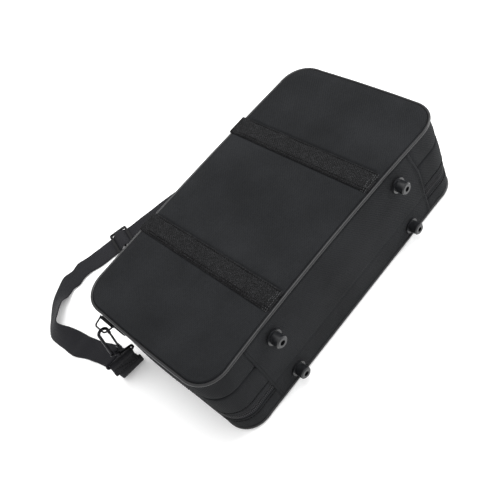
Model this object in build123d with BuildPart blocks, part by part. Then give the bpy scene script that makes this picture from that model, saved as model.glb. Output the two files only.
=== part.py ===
"""A soft zipped clarinet case of webbing, oxford cloth and foam, lying on its face.

The case is a shallow shell and a deep shell, joined along the spine by a cloth panel
and closed round the other three sides by a coil zip. X runs along the case, -Y is the
spine with the feet, +Y the front with the handles and Z is up from the floor. The
origin is under the middle of the case.
"""
from build123d import *
import math
import os

os.makedirs("parts", exist_ok=True)

# The case as a whole
case_length = 370.0
case_width = 204.0
case_height = 114.0
corner_radius = 36.0
zip_height = 35.0
overrun = 6.0

# Sides of the many-sided sections that stand for round wire and cord
wire_sides = 6
cord_sides = 8
flat_turn = 180 / cord_sides

# Layers of the walls, as depths in from the outline of the piping
core_inset = 3.2
core_thickness = 6.0
core_floor = 5.0
wall_inset = 1.1
hem_inset = 0.7
seam_groove_depth = 0.8
lining_thickness = 1.5
face_thickness = 3.2
face_inset = 5.2
face_edge_bevel = 1.1
core_edge_bevel = 4.8
rim_gap = 1.0
rim_bevel_depth = 3.2
rim_bevel_height = 8.0

# Piping
piping_radius = 2.2
piping_clearance = 0.1

# Webbing across the two faces
band_width = 25.0
band_thickness = 1.4
band_place = 76.5
band_channel_clearance = 0.3
band_front_reach = 1.0

# Seams of the wall cloth: the hems beside the zip, and the seam under the deep shell's face
deep_hem_rise = 7.0
deep_seam_drop = 35.0
shallow_hem_drop = 8.0
hem_depth = 5.0
seam_groove_half = 0.4

# Spine panel, whose side seams are set in from the corners
spine_seam_set = 17.5
spine_panel_inset = 0.4
spine_hem_bevel = 0.9
fold_gap = 0.2

# Zip
chain_gap = 0.5
coil_height = 3.0
coil_inset = 1.1
coil_bevel = 0.8
tape_inset = 2.2
slider_rest = 7.0
slider_length = 10.0
slider_height = 9.0
slider_plate = 1.4
slider_clearance = 0.3
slider_back_plate = 1.1
slider_neck = 0.6
slider_neck_length = 4.6
slider_corner = 2.4
crown_bar_radius = 0.8
crown_bar_length = 6.4
crown_rise = 3.6
pull_ring_radius = 2.6
pull_ring_wire = 0.9
pull_ring_play = 0.15
pull_width = 9.0
pull_length = 24.0
pull_thickness = 1.6
pull_hole_radius = 1.6
pull_web = 0.9
pull_tip_radius = 3.0

# Feet on the spine, set in from the panel's side seams
foot_seam_set = 31.5
deep_foot_drop = 24.5
shallow_foot_height = 18.0
foot_flange_radius = 8.8
foot_flange_thickness = 1.6
foot_radius = 6.8
foot_length = 12.0
foot_hole_radius = 2.9
foot_hole_depth = 8.0
foot_edge_bevel = 1.2
screw_head_radius = 2.5
screw_head_height = 1.6
screw_radius = 1.5
washer_radius = 6.0
washer_thickness = 1.0
screw_play = 0.1

# Handles
handle_reach = 70.0
handle_leg_slant = 18.0
handle_leg_length = 34.0
handle_bend_radius = 16.0
handle_grip_width = 14.0
handle_grip_thickness = 5.6
handle_grip_bevel = 1.5
handle_gap = 0.2
handle_droop_angle = 50.0
handle_floor_tilt = 4.0

# Moulded insert
insert_clearance = 0.3
insert_step_height = 33.0
insert_top = 62.0
insert_edge_gap = 6.0
insert_edge_bevel = 3.0
insert_floor = 8.0
pocket_wall = 5.0
pocket_draft = 4.0
pocket_corner = 11.0
small_pocket_corner = 6.0
tool_pocket_length = 70.0
lower_joint_width = 46.0
upper_joint_past_bell = 3.0
upper_joint_width = 44.0
mouthpiece_length = 96.0
mouthpiece_width = 40.0
mouthpiece_tip_width = 26.0
barrel_length = 70.0
barrel_width = 40.0
barrel_swell = 2.5
bell_length = 106.0
bell_mouth_width = 82.0
bell_neck_width = 42.0
bell_flare_share = 0.32
tool_pocket_width = 46.0
scoop_radius = 15.0
scoop_place = -40.0

# Pad in the roof of the deep shell
pad_thickness = 8.0
pad_margin = 14.0
pad_edge_bevel = 3.5

# Ring tabs and rings on the ends of the deep shell; the hooks hang from the rings to the
# floor, so the rings keep their height over it
ring_height = 88.0
ring_corner_set = 26.0
ring_inner_width = 22.0
ring_bow_width = 18.0
ring_reach = 11.0
ring_wire = 1.0
ring_corner = 4.0
ring_play = 0.15
tab_width = 20.0
tab_thickness = 1.0
tab_gap = 0.1
tab_drop = 26.0

# Snap hooks of the shoulder strap
hook_offset = 5.0
hook_lean = 10.8
hook_wire = 1.75
hook_inner_radius = 3.6
hook_seat_play = 0.2
hook_length = 42.0
hook_nose_drop = 6.0
gate_play = 0.3
gate_pin_radius = 0.8
gate_pin_play = 0.05
gate_knuckle_radius = 2.2
gate_knuckle_width = 2.4
gate_ear_thickness = 1.2
gate_ear_play = 0.15
gate_foot_gap = 0.3
swivel_radius = 3.4
swivel_height = 5.0
swivel_gap = 0.2
swivel_pin_radius = 1.2
swivel_pin_play = 0.1
swivel_head_radius = 2.0
swivel_head_height = 0.9
eye_wire = 1.5
eye_drop = 8.0
eye_shoulder = 3.0
eye_corner = 2.0

# Shoulder strap
strap_width = 32.0
strap_thickness = 1.6
strap_play = 0.25
strap_loop_drop = 17.0
strap_loop_gap = 0.2
slide_place = (93.0, 170.7)
slide_heading = -16.8
slide_frame_width = 40.0
slide_frame_length = 26.0
slide_frame_thickness = 2.4
slide_bar = 3.2
slide_side_bar = 3.0
slide_lift = 2.5
slide_hump = 6.3
slide_flat = 1.3
slide_corner = 3.0
slide_edge_bevel = 0.5

# Places that follow from the sizes above
half_length = case_length / 2
half_width = case_width / 2
deep_hem_height = zip_height + deep_hem_rise
deep_seam_height = case_height - deep_seam_drop
shallow_hem_height = zip_height - shallow_hem_drop
spine_panel_half = half_length - corner_radius - spine_seam_set
foot_spread = spine_panel_half - foot_seam_set
ring_place = half_width - ring_corner_set
hook_place = ring_place - hook_offset
deep_foot_height = case_height - deep_foot_drop
piping_low = band_thickness + piping_clearance + piping_radius
piping_high = case_height - piping_low
wall_low = piping_low + piping_radius
wall_high = case_height - wall_low
face_outer_low = 0.0
core_low = face_thickness
core_high = case_height - face_thickness
core_top_inner = core_high - core_floor
core_bottom_inner = core_low + core_floor
cavity_inset = core_inset + core_thickness
lid_cavity_inset = cavity_inset + lining_thickness
lid_roof = core_top_inner - lining_thickness
spine_face = half_width - spine_panel_inset
washer_face = cavity_inset - half_width


def outline(inset):
    """Adds the case's rounded plan outline, drawn in by an inset, to the sketch in progress."""
    RectangleRounded(case_length - 2 * inset, case_width - 2 * inset, corner_radius - inset)


def save(shape, name):
    """Labels a finished piece and writes its file."""
    shape.label = name
    export_step(shape, f"parts/{name}.step")


def screw_room(height, seat_radius):
    """The room of one pair of foot screws, and of the washers let into the foam's inner face."""
    with BuildPart() as room:
        for side in (-foot_spread, foot_spread):
            with BuildSketch(Plane(origin=(side, -half_width, height), x_dir=(1, 0, 0), z_dir=(0, 1, 0))):
                RegularPolygon(screw_radius + screw_play, wire_sides)
            extrude(amount=cavity_inset + overrun)
            seat = washer_face - washer_thickness
            with BuildSketch(Plane(origin=(side, seat, height), x_dir=(1, 0, 0), z_dir=(0, 1, 0))):
                Circle(seat_radius)
            extrude(amount=washer_thickness + overrun)
    return room.part


def open_run():
    """The route of the zip and wall bands: from one spine seam round the front to the other."""
    points = [
        (-spine_panel_half, -half_width),
        (-half_length, -half_width),
        (-half_length, half_width),
        (half_length, half_width),
        (half_length, -half_width),
        (spine_panel_half, -half_width),
    ]
    return FilletPolyline(*points, radius=corner_radius)


# The plane across the start of that route: first coordinate inwards, second upwards
band_section = Plane(origin=(-spine_panel_half, -half_width, 0), x_dir=(0, 1, 0), z_dir=(1, 0, 0))


# Foam trays that stiffen the two shells

shallow_screw_room = screw_room(shallow_foot_height, washer_radius + screw_play)
deep_screw_room = screw_room(deep_foot_height, washer_radius + screw_play)

with BuildPart() as shallow_core:
    with BuildSketch(Plane.XY.offset(core_low)):
        outline(core_inset)
    extrude(amount=zip_height - rim_gap - core_low)
    chamfer(shallow_core.faces().sort_by(Axis.Z)[0].edges(), core_edge_bevel)
    with BuildSketch(Plane.XY.offset(core_bottom_inner)):
        outline(cavity_inset)
    extrude(amount=zip_height, mode=Mode.SUBTRACT)
    chamfer(
        shallow_core.faces().sort_by(Axis.Z)[-1].outer_wire().edges(),
        length=rim_bevel_depth,
        length2=rim_bevel_height,
        reference=shallow_core.faces().sort_by(Axis.Z)[-1],
    )
    add(shallow_screw_room, mode=Mode.SUBTRACT)
save(shallow_core.part, "shallow_core")

with BuildPart() as deep_core:
    with BuildSketch(Plane.XY.offset(zip_height + rim_gap)):
        outline(core_inset)
    extrude(amount=core_high - zip_height - rim_gap)
    chamfer(deep_core.faces().sort_by(Axis.Z)[-1].edges(), core_edge_bevel)
    with BuildSketch(Plane.XY.offset(zip_height)):
        outline(cavity_inset)
    extrude(amount=core_top_inner - zip_height, mode=Mode.SUBTRACT)
    chamfer(
        deep_core.faces().sort_by(Axis.Z)[0].outer_wire().edges(),
        length=rim_bevel_depth,
        length2=rim_bevel_height,
        reference=deep_core.faces().sort_by(Axis.Z)[0],
    )
    add(deep_screw_room, mode=Mode.SUBTRACT)
save(deep_core.part, "deep_core")


# Cloth faces: padded panels with a shallow channel under each webbing band

def face_cloth(inner_height, outer_height):
    """One padded face panel between its foam and the outside, with its two channels."""
    thickness = outer_height - inner_height
    channel_height = outer_height - math.copysign(band_thickness, thickness)
    with BuildPart() as panel:
        with BuildSketch(Plane.XY.offset(inner_height)):
            outline(face_inset)
        extrude(amount=thickness)
        with BuildSketch(Plane.XY.offset(channel_height)):
            with Locations((-band_place, 0), (band_place, 0)):
                Rectangle(band_width + 2 * band_channel_clearance, case_width)
        extrude(amount=math.copysign(overrun, thickness), mode=Mode.SUBTRACT)
        outer_faces = panel.faces().filter_by(Plane.XY).filter_by(
            lambda face: abs(face.center().Z - outer_height) < band_thickness / 2
        )
        chamfer(outer_faces.edges(), face_edge_bevel)
    return panel.part


save(face_cloth(core_low, face_outer_low), "shallow_face_cloth")
save(face_cloth(core_high, case_height), "deep_face_cloth")


# Bands of cloth and zip, swept round the front and both ends

def swept_band(points):
    """A band round the case, from its section's corners as (inset, height)."""
    with BuildPart() as band:
        with BuildLine() as run:
            open_run()
        with BuildSketch(band_section):
            with BuildLine():
                Polyline(*points, close=True)
            make_face()
        sweep(path=run.wire())
    return band.part


# Walls: each has a folded hem beside the zip, and the deep one a sewn seam below the face

groove_inset = wall_inset + seam_groove_depth
save(
    swept_band([
        (hem_inset, shallow_hem_height),
        (hem_inset, shallow_hem_height - hem_depth),
        (wall_inset, shallow_hem_height - hem_depth),
        (wall_inset, wall_low),
        (core_inset, wall_low),
        (core_inset, shallow_hem_height),
    ]),
    "shallow_wall_cloth",
)
save(
    swept_band([
        (hem_inset, deep_hem_height),
        (hem_inset, deep_hem_height + hem_depth),
        (wall_inset, deep_hem_height + hem_depth),
        (wall_inset, deep_seam_height - seam_groove_half),
        (groove_inset, deep_seam_height - seam_groove_half),
        (groove_inset, deep_seam_height + seam_groove_half),
        (wall_inset, deep_seam_height + seam_groove_half),
        (wall_inset, wall_high),
        (core_inset, wall_high),
        (core_inset, deep_hem_height),
    ]),
    "deep_wall_cloth",
)


# Zip tape and coil, one half on each shell

def zip_coil(edge, root):
    """Half of the zip's chain, from its meeting edge to its root, with its outer edges taken off."""
    bevel = math.copysign(coil_bevel, root - edge)
    return swept_band([
        (tape_inset, edge),
        (tape_inset, root),
        (coil_inset, root - bevel),
        (coil_inset, edge + bevel),
    ])


lower_chain_edge = zip_height - chain_gap
upper_chain_edge = zip_height + chain_gap
save(
    swept_band([
        (tape_inset, shallow_hem_height),
        (tape_inset, lower_chain_edge),
        (core_inset, lower_chain_edge),
        (core_inset, shallow_hem_height),
    ]),
    "shallow_zip_tape",
)
save(
    swept_band([
        (tape_inset, deep_hem_height),
        (tape_inset, upper_chain_edge),
        (core_inset, upper_chain_edge),
        (core_inset, deep_hem_height),
    ]),
    "deep_zip_tape",
)
save(zip_coil(lower_chain_edge, lower_chain_edge - coil_height), "shallow_zip_coil")
save(zip_coil(upper_chain_edge, upper_chain_edge + coil_height), "deep_zip_coil")


# Piping round each face

def piping(height):
    """A round cord of piping along the edge of one face."""
    run_length = half_length - piping_radius
    run_width = half_width - piping_radius
    run_radius = corner_radius - piping_radius
    with BuildPart() as cord:
        with BuildLine(Plane.XY.offset(height)) as run:
            FilletPolyline(
                (-run_length, -run_width),
                (-run_length, run_width),
                (run_length, run_width),
                (run_length, -run_width),
                radius=run_radius,
                close=True,
            )
        start = run.wire() @ 0
        heading = run.wire() % 0
        with BuildSketch(Plane(origin=start, x_dir=(0, 0, 1), z_dir=heading)):
            RegularPolygon(piping_radius, cord_sides)
        sweep(path=run.wire())
    return cord.part


save(piping(piping_low), "shallow_piping")
save(piping(piping_high), "deep_piping")


# Spine panel in two halves, which fold at the height of the zip

def spine_half(low, high, room):
    """One half of the spine panel, with its folded side hems rounded."""
    with BuildPart() as panel:
        with BuildSketch(Plane.XY.offset(low)):
            with BuildLine():
                Polyline(
                    (-spine_panel_half, -spine_face),
                    (spine_panel_half, -spine_face),
                    (spine_panel_half, core_inset - half_width),
                    (-spine_panel_half, core_inset - half_width),
                    close=True,
                )
            make_face()
        extrude(amount=high - low)
        hems = panel.edges().filter_by(Axis.Z).group_by(Axis.Y)[0]
        chamfer(hems, spine_hem_bevel)
        add(room, mode=Mode.SUBTRACT)
    return panel.part


save(spine_half(wall_low, zip_height - fold_gap, shallow_screw_room), "shallow_spine_panel")
save(spine_half(zip_height + fold_gap, wall_high, deep_screw_room), "deep_spine_panel")


# Webbing bands in the channels of the two faces

def webbing_bands(height):
    """The two bands across one face, from the spine piping to just past the front piping."""
    back = face_inset - half_width
    front = half_width + band_front_reach
    with BuildPart() as bands:
        with BuildSketch(Plane.XY.offset(height)):
            with Locations((-band_place, (back + front) / 2), (band_place, (back + front) / 2)):
                Rectangle(band_width, front - back)
        extrude(amount=band_thickness)
    return bands.part


save(webbing_bands(face_outer_low), "shallow_bands")
save(webbing_bands(case_height - band_thickness), "deep_bands")


# Feet with their screws and washers

def foot_set(height):
    """The two moulded feet at one height: flange, round body and recessed tip."""
    with BuildPart() as feet:
        for side in (-foot_spread, foot_spread):
            with BuildSketch(Plane(origin=(side, -spine_face, height), x_dir=(1, 0, 0), z_dir=(0, 0, -1))):
                with BuildLine():
                    Polyline(
                        (0, 0),
                        (foot_flange_radius, 0),
                        (foot_flange_radius, foot_flange_thickness),
                        (foot_radius, foot_flange_thickness),
                        (foot_radius, foot_length - foot_edge_bevel),
                        (foot_radius - foot_edge_bevel, foot_length),
                        (foot_hole_radius, foot_length),
                        (foot_hole_radius, foot_length - foot_hole_depth),
                        (0, foot_length - foot_hole_depth),
                        close=True,
                    )
                make_face()
            revolve(axis=Axis((side, -spine_face, height), (0, 1, 0)))
            with BuildSketch(Plane(origin=(side, -spine_face, height), x_dir=(1, 0, 0), z_dir=(0, -1, 0))):
                RegularPolygon(screw_radius, wire_sides)
            extrude(amount=foot_length, mode=Mode.SUBTRACT)
    return feet.part


def foot_screws(height):
    """The two screws of a pair of feet, each through its foot, panel and foam to a washer."""
    head_face = -spine_face - (foot_length - foot_hole_depth)
    with BuildPart() as screws:
        for side in (-foot_spread, foot_spread):
            with BuildSketch(Plane(origin=(side, head_face, height), x_dir=(1, 0, 0), z_dir=(0, -1, 0))):
                RegularPolygon(screw_head_radius, wire_sides)
            extrude(amount=screw_head_height)
            with BuildSketch(Plane(origin=(side, head_face, height), x_dir=(1, 0, 0), z_dir=(0, 1, 0))):
                RegularPolygon(screw_radius, wire_sides)
            extrude(amount=washer_face - head_face)
    return screws.part


def foot_washers(height):
    """The two washers let into the foam's inner face, each on the end of its screw."""
    with BuildPart() as washers:
        for side in (-foot_spread, foot_spread):
            with BuildSketch(Plane(origin=(side, washer_face, height), x_dir=(1, 0, 0), z_dir=(0, -1, 0))):
                Circle(washer_radius)
                RegularPolygon(screw_radius + screw_play, wire_sides, mode=Mode.SUBTRACT)
            extrude(amount=washer_thickness)
    return washers.part


save(foot_washers(shallow_foot_height), "shallow_foot_washers")
save(foot_washers(deep_foot_height), "deep_foot_washers")
save(foot_set(shallow_foot_height), "shallow_feet")
save(foot_set(deep_foot_height), "deep_feet")
save(foot_screws(shallow_foot_height), "shallow_foot_screws")
save(foot_screws(deep_foot_height), "deep_foot_screws")


# Moulded insert: the feature that takes most skill, with a shaped pocket for each joint

insert_half_length = half_length - cavity_inset - insert_clearance
insert_half_width = half_width - cavity_inset - insert_clearance
bed_half_length = insert_half_length - insert_edge_gap
bed_half_width = insert_half_width - insert_edge_gap
bed_left = pocket_wall - bed_half_length
bed_right = bed_half_length - pocket_wall
bed_front = bed_half_width - pocket_wall
bed_back = pocket_wall - bed_half_width
pocket_depth = insert_top - core_bottom_inner - insert_floor
lower_joint_middle = bed_front - lower_joint_width / 2
upper_joint_middle = bed_front - lower_joint_width - pocket_wall - upper_joint_width / 2
bell_middle = bed_back + bell_mouth_width / 2
small_row_high = upper_joint_middle - upper_joint_width / 2 - pocket_wall
small_row_middle = (bed_back + small_row_high) / 2
tool_left = bed_right - tool_pocket_length
barrel_left = bed_left + mouthpiece_length + pocket_wall
bell_left = bed_right - bell_length
lower_joint_length = tool_left - pocket_wall - bed_left
upper_joint_length = bell_left + upper_joint_past_bell - bed_left


def joint_pocket(left, middle, length, width):
    """The mouth of a long pocket with rounded ends."""
    with BuildSketch() as pocket:
        with Locations((left + length / 2, middle)):
            RectangleRounded(length, width, pocket_corner)
    return pocket.sketch


def mouthpiece_pocket():
    """The mouthpiece's pocket, tapering to the narrow end."""
    wide = mouthpiece_width / 2
    narrow = mouthpiece_tip_width / 2
    left = bed_left
    right = bed_left + mouthpiece_length
    with BuildSketch() as pocket:
        with BuildLine():
            Line((left, small_row_middle - narrow), (right, small_row_middle - wide))
            Line((right, small_row_middle - wide), (right, small_row_middle + wide))
            Line((right, small_row_middle + wide), (left, small_row_middle + narrow))
            Line((left, small_row_middle + narrow), (left, small_row_middle - narrow))
        make_face()
        fillet(pocket.vertices(), small_pocket_corner)
    return pocket.sketch


def barrel_pocket():
    """The barrel's pocket, with sides that swell like the barrel."""
    half = barrel_width / 2
    left = barrel_left
    right = barrel_left + barrel_length
    middle = (left + right) / 2
    with BuildSketch() as pocket:
        with BuildLine():
            ThreePointArc(
                (left, small_row_middle - half + barrel_swell),
                (middle, small_row_middle - half),
                (right, small_row_middle - half + barrel_swell),
            )
            Line(
                (right, small_row_middle - half + barrel_swell),
                (right, small_row_middle + half - barrel_swell),
            )
            ThreePointArc(
                (right, small_row_middle + half - barrel_swell),
                (middle, small_row_middle + half),
                (left, small_row_middle + half - barrel_swell),
            )
            Line(
                (left, small_row_middle + half - barrel_swell),
                (left, small_row_middle - half + barrel_swell),
            )
        make_face()
    return pocket.sketch


def bell_pocket():
    """The bell's pocket: a narrow neck that flares to the mouth."""
    neck = bell_neck_width / 2
    mouth = bell_mouth_width / 2
    left = bell_left
    right = bed_right
    flare = (left + right) / 2
    flare_half = neck + (mouth - neck) * bell_flare_share
    with BuildSketch() as pocket:
        with BuildLine():
            ThreePointArc(
                (left, bell_middle - neck),
                (flare, bell_middle - flare_half),
                (right, bell_middle - mouth),
            )
            Line((right, bell_middle - mouth), (right, bell_middle + mouth))
            ThreePointArc(
                (right, bell_middle + mouth),
                (flare, bell_middle + flare_half),
                (left, bell_middle + neck),
            )
            Line((left, bell_middle + neck), (left, bell_middle - neck))
        make_face()
        fillet(pocket.vertices(), small_pocket_corner)
    return pocket.sketch


pocket_mouths = (
    joint_pocket(bed_left, lower_joint_middle, lower_joint_length, lower_joint_width),
    joint_pocket(bed_left, upper_joint_middle, upper_joint_length, upper_joint_width),
    joint_pocket(tool_left, lower_joint_middle, tool_pocket_length, tool_pocket_width),
    mouthpiece_pocket(),
    barrel_pocket(),
    bell_pocket(),
)

with BuildPart() as insert_block:
    with BuildSketch(Plane.XY.offset(core_bottom_inner)):
        outline(cavity_inset + insert_clearance)
    extrude(amount=insert_step_height - core_bottom_inner)
    with BuildSketch(Plane.XY.offset(insert_step_height)):
        outline(cavity_inset + insert_clearance + insert_edge_gap)
    extrude(amount=insert_top - insert_step_height)
    chamfer(insert_block.faces().sort_by(Axis.Z)[-1].edges(), insert_edge_bevel)
    for mouth in pocket_mouths:
        with BuildSketch(Plane.XY.offset(insert_top)):
            add(mouth)
        extrude(amount=-pocket_depth, taper=pocket_draft, mode=Mode.SUBTRACT)
    with BuildSketch(Plane.XZ.offset(-bed_front)):
        with Locations((scoop_place, insert_top)):
            Circle(scoop_radius)
    extrude(amount=bed_front - small_row_high, mode=Mode.SUBTRACT)
save(insert_block.part, "insert_block")


# Lining of the deep shell, and the pad in its roof

with BuildPart() as deep_lining:
    with BuildSketch(Plane.XY.offset(zip_height + rim_gap)):
        outline(cavity_inset)
    extrude(amount=core_top_inner - zip_height - rim_gap)
    with BuildSketch(Plane.XY.offset(zip_height)):
        outline(lid_cavity_inset)
    extrude(amount=lid_roof - zip_height, mode=Mode.SUBTRACT)
save(deep_lining.part, "deep_lining")

with BuildPart() as roof_pad:
    with BuildSketch(Plane.XY.offset(lid_roof)):
        outline(lid_cavity_inset + pad_margin)
    extrude(amount=-pad_thickness)
    chamfer(roof_pad.faces().sort_by(Axis.Z)[0].edges(), pad_edge_bevel)
save(roof_pad.part, "roof_pad")


# Zip sliders, each with a wire ring and a pull

plate_inner = half_width - coil_inset + slider_clearance
plate_outer = plate_inner + slider_plate
back_outer = half_width - core_inset - slider_clearance
crown_place = plate_outer + crown_rise
ring_middle = zip_height - (pull_ring_radius - pull_ring_wire / 2 - crown_bar_radius - pull_ring_play)
pull_hole_height = ring_middle - pull_ring_radius


def zip_slider(place):
    """The slider's outer plate, back plate, thin neck between the coils and crown bar."""
    with BuildPart() as slider:
        with BuildSketch(Plane(origin=(place, plate_inner, zip_height), x_dir=(1, 0, 0), z_dir=(0, 1, 0))):
            RectangleRounded(slider_length, slider_height, slider_corner)
        extrude(amount=slider_plate)
        with BuildSketch(Plane(origin=(place, back_outer, zip_height), x_dir=(1, 0, 0), z_dir=(0, -1, 0))):
            RectangleRounded(slider_length, slider_height, slider_corner)
        extrude(amount=slider_back_plate)
        with BuildSketch(Plane(origin=(place, back_outer, zip_height), x_dir=(1, 0, 0), z_dir=(0, 1, 0))):
            Rectangle(slider_neck_length, slider_neck)
        extrude(amount=plate_inner - back_outer)
        crown_start = place - crown_bar_length / 2
        crown_end = (crown_start, crown_place, zip_height)
        with BuildSketch(Plane(origin=crown_end, x_dir=(0, 1, 0), z_dir=(1, 0, 0))):
            RegularPolygon(crown_bar_radius, wire_sides)
        extrude(amount=crown_bar_length)
        for post in (-1, 1):
            post_place = place + post * (crown_bar_length / 2 - crown_bar_radius)
            post_foot = (post_place, plate_outer, zip_height)
            with BuildSketch(Plane(origin=post_foot, x_dir=(1, 0, 0), z_dir=(0, 1, 0))):
                RegularPolygon(crown_bar_radius, wire_sides)
            extrude(amount=crown_rise)
    return slider.part


def pull_ring(place):
    """The ring of square wire that hangs on the slider's crown bar."""
    with BuildPart() as ring:
        with BuildSketch(Plane(origin=(place, crown_place, ring_middle), x_dir=(0, 1, 0), z_dir=(0, 0, 1))):
            with Locations((pull_ring_radius, 0)):
                Rectangle(pull_ring_wire, pull_ring_wire)
        revolve(axis=Axis((place, crown_place, ring_middle), (1, 0, 0)))
    return ring.part


def pull_tab(place):
    """The pull, hanging from the ring through the hole at its top."""
    top = pull_hole_height + pull_hole_radius + pull_web
    with BuildPart() as pull:
        face_plane = Plane(
            origin=(place, crown_place - pull_thickness / 2, top - pull_length / 2),
            x_dir=(1, 0, 0),
            z_dir=(0, 1, 0),
        )
        with BuildSketch(face_plane):
            RectangleRounded(pull_width, pull_length, pull_tip_radius)
        extrude(amount=pull_thickness)
        with BuildSketch(
            Plane(
                origin=(place, crown_place - pull_thickness, pull_hole_height),
                x_dir=(1, 0, 0),
                z_dir=(0, 1, 0),
            )
        ):
            Circle(pull_hole_radius)
        extrude(amount=2 * pull_thickness, mode=Mode.SUBTRACT)
    return pull.part


for side, place in (("left", -slider_rest), ("right", slider_rest)):
    save(zip_slider(place), f"zip_slider_{side}")
    save(pull_ring(place), f"pull_ring_{side}")
    save(pull_tab(place), f"pull_tab_{side}")


# Handles: the webbing leaves each band flat and is folded to a narrow grip

handle_axis_place = half_width + band_front_reach + handle_gap + band_thickness / 2


def handle(origin, tilt):
    """A handle loop in its own plane: x along the case, y outwards at a tilt from level."""
    outward = (0, math.cos(math.radians(tilt)), math.sin(math.radians(tilt)))
    plane = Plane(origin=origin, x_dir=(1, 0, 0), z_dir=Vector((1, 0, 0)).cross(Vector(outward)))
    leg_end_x = band_place - handle_leg_slant
    grip_run = handle_reach - handle_grip_width / 2
    corner_x = leg_end_x - (grip_run - handle_leg_length) * handle_leg_slant / handle_leg_length
    with BuildPart() as loop:
        with BuildLine(plane) as route:
            FilletPolyline(
                (-leg_end_x, handle_leg_length),
                (-corner_x, grip_run),
                (corner_x, grip_run),
                (leg_end_x, handle_leg_length),
                radius=handle_bend_radius,
            )
        start = Plane(
            origin=route.wire() @ 0,
            x_dir=plane.z_dir,
            z_dir=route.wire() % 0,
        )
        with BuildSketch(start):
            grip = Rectangle(handle_grip_thickness, handle_grip_width)
            chamfer(grip.vertices(), handle_grip_bevel)
        sweep(path=route.wire())
        for side in (-1, 1):
            root = plane.from_local_coords((side * band_place, 0, 0))
            end = plane.from_local_coords((side * leg_end_x, handle_leg_length, 0))
            along = (end - root).normalized()
            with BuildSketch(Plane(origin=root, x_dir=(1, 0, 0), z_dir=Vector(outward))):
                Rectangle(band_width, band_thickness)
            with BuildSketch(Plane(origin=end, x_dir=along.cross(plane.z_dir), z_dir=along)):
                Rectangle(handle_grip_width, handle_grip_thickness)
            loft(ruled=True)
    return loop.part


save(handle((0, handle_axis_place, band_thickness / 2), handle_floor_tilt), "shallow_handle")
save(handle((0, handle_axis_place, case_height - band_thickness / 2), -handle_droop_angle), "deep_handle")


# Ring tabs and wire rings on the ends

wall_end = half_length - hem_inset
tab_loop_radius = ring_wire + ring_play + tab_thickness
ring_bar_place = wall_end + tab_gap + tab_loop_radius
ring_bow_place = ring_bar_place + ring_reach


def ring_tab():
    """The webbing tab on the near end: a loop round the ring's bar, sewn down the wall."""
    tab_start = (-ring_bar_place, ring_place + tab_width / 2, ring_height)
    with BuildPart() as tab:
        with BuildSketch(Plane(origin=tab_start, x_dir=(1, 0, 0), z_dir=(0, -1, 0))):
            Circle(tab_loop_radius)
            with Locations((tab_loop_radius - tab_thickness, -tab_drop / 2)):
                Rectangle(2 * tab_thickness, tab_drop)
            Circle(ring_wire + ring_play, mode=Mode.SUBTRACT)
        extrude(amount=tab_width)
    return tab.part


def wire_ring():
    """The near ring: a straight bar in the tab and a bow that stands out from the wall."""
    half_bar = ring_inner_width / 2 + ring_wire
    half_bow = ring_bow_width / 2
    with BuildPart() as ring:
        with BuildLine(Plane.XY.offset(ring_height)) as route:
            FilletPolyline(
                (-ring_bar_place, ring_place + half_bar),
                (-ring_bow_place, ring_place + half_bow),
                (-ring_bow_place, ring_place - half_bow),
                (-ring_bar_place, ring_place - half_bar),
                radius=ring_corner,
            )
        with BuildSketch(Plane(origin=route.wire() @ 0, x_dir=(0, 0, 1), z_dir=route.wire() % 0)):
            RegularPolygon(ring_wire, cord_sides, rotation=flat_turn)
        sweep(path=route.wire())
        bar_start = (-ring_bar_place, ring_place - half_bar - ring_wire, ring_height)
        with BuildSketch(Plane(origin=bar_start, x_dir=(0, 0, 1), z_dir=(0, 1, 0))):
            RegularPolygon(ring_wire, cord_sides, rotation=flat_turn)
        extrude(amount=2 * (half_bar + ring_wire))
    return ring.part


near_ring_tab = ring_tab()
near_ring = wire_ring()
save(near_ring_tab, "near_ring_tab")
save(near_ring, "near_ring")


def far_copy(shape):
    """The same piece at the far end of the case."""
    with BuildPart() as copy:
        mirror(shape, about=Plane.YZ)
    return copy.part


save(far_copy(near_ring_tab), "far_ring_tab")
save(far_copy(near_ring), "far_ring")


# Snap hooks that hang from the rings: an open frame, a sprung gate and a swivel eye.
# They lean out from the wall, so they are drawn in a leaning plane through the ring's bow,
# with the first coordinate towards the case and the second up along the hook.

lean = math.radians(hook_lean)
hook_across = Vector(math.cos(lean), 0, -math.sin(lean))
hook_up = Vector(math.sin(lean), 0, math.cos(lean))
hook_plane = Plane(origin=(-ring_bow_place, hook_place, ring_height), x_dir=hook_across, z_dir=(0, -1, 0))
arc_centre = ring_wire + hook_seat_play - hook_inner_radius
hook_half = hook_inner_radius + hook_wire
hook_foot = arc_centre + hook_half + hook_wire - hook_length
gate_pin = hook_foot + hook_wire + gate_foot_gap + gate_knuckle_radius
gate_top = arc_centre - hook_nose_drop
ear_reach = gate_knuckle_width / 2 + gate_ear_play + gate_ear_thickness
swivel_top = hook_foot - swivel_gap
swivel_foot = swivel_top - swivel_height
eye_bar = swivel_foot - eye_drop
eye_half = strap_width / 2 + strap_play + eye_wire


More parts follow.
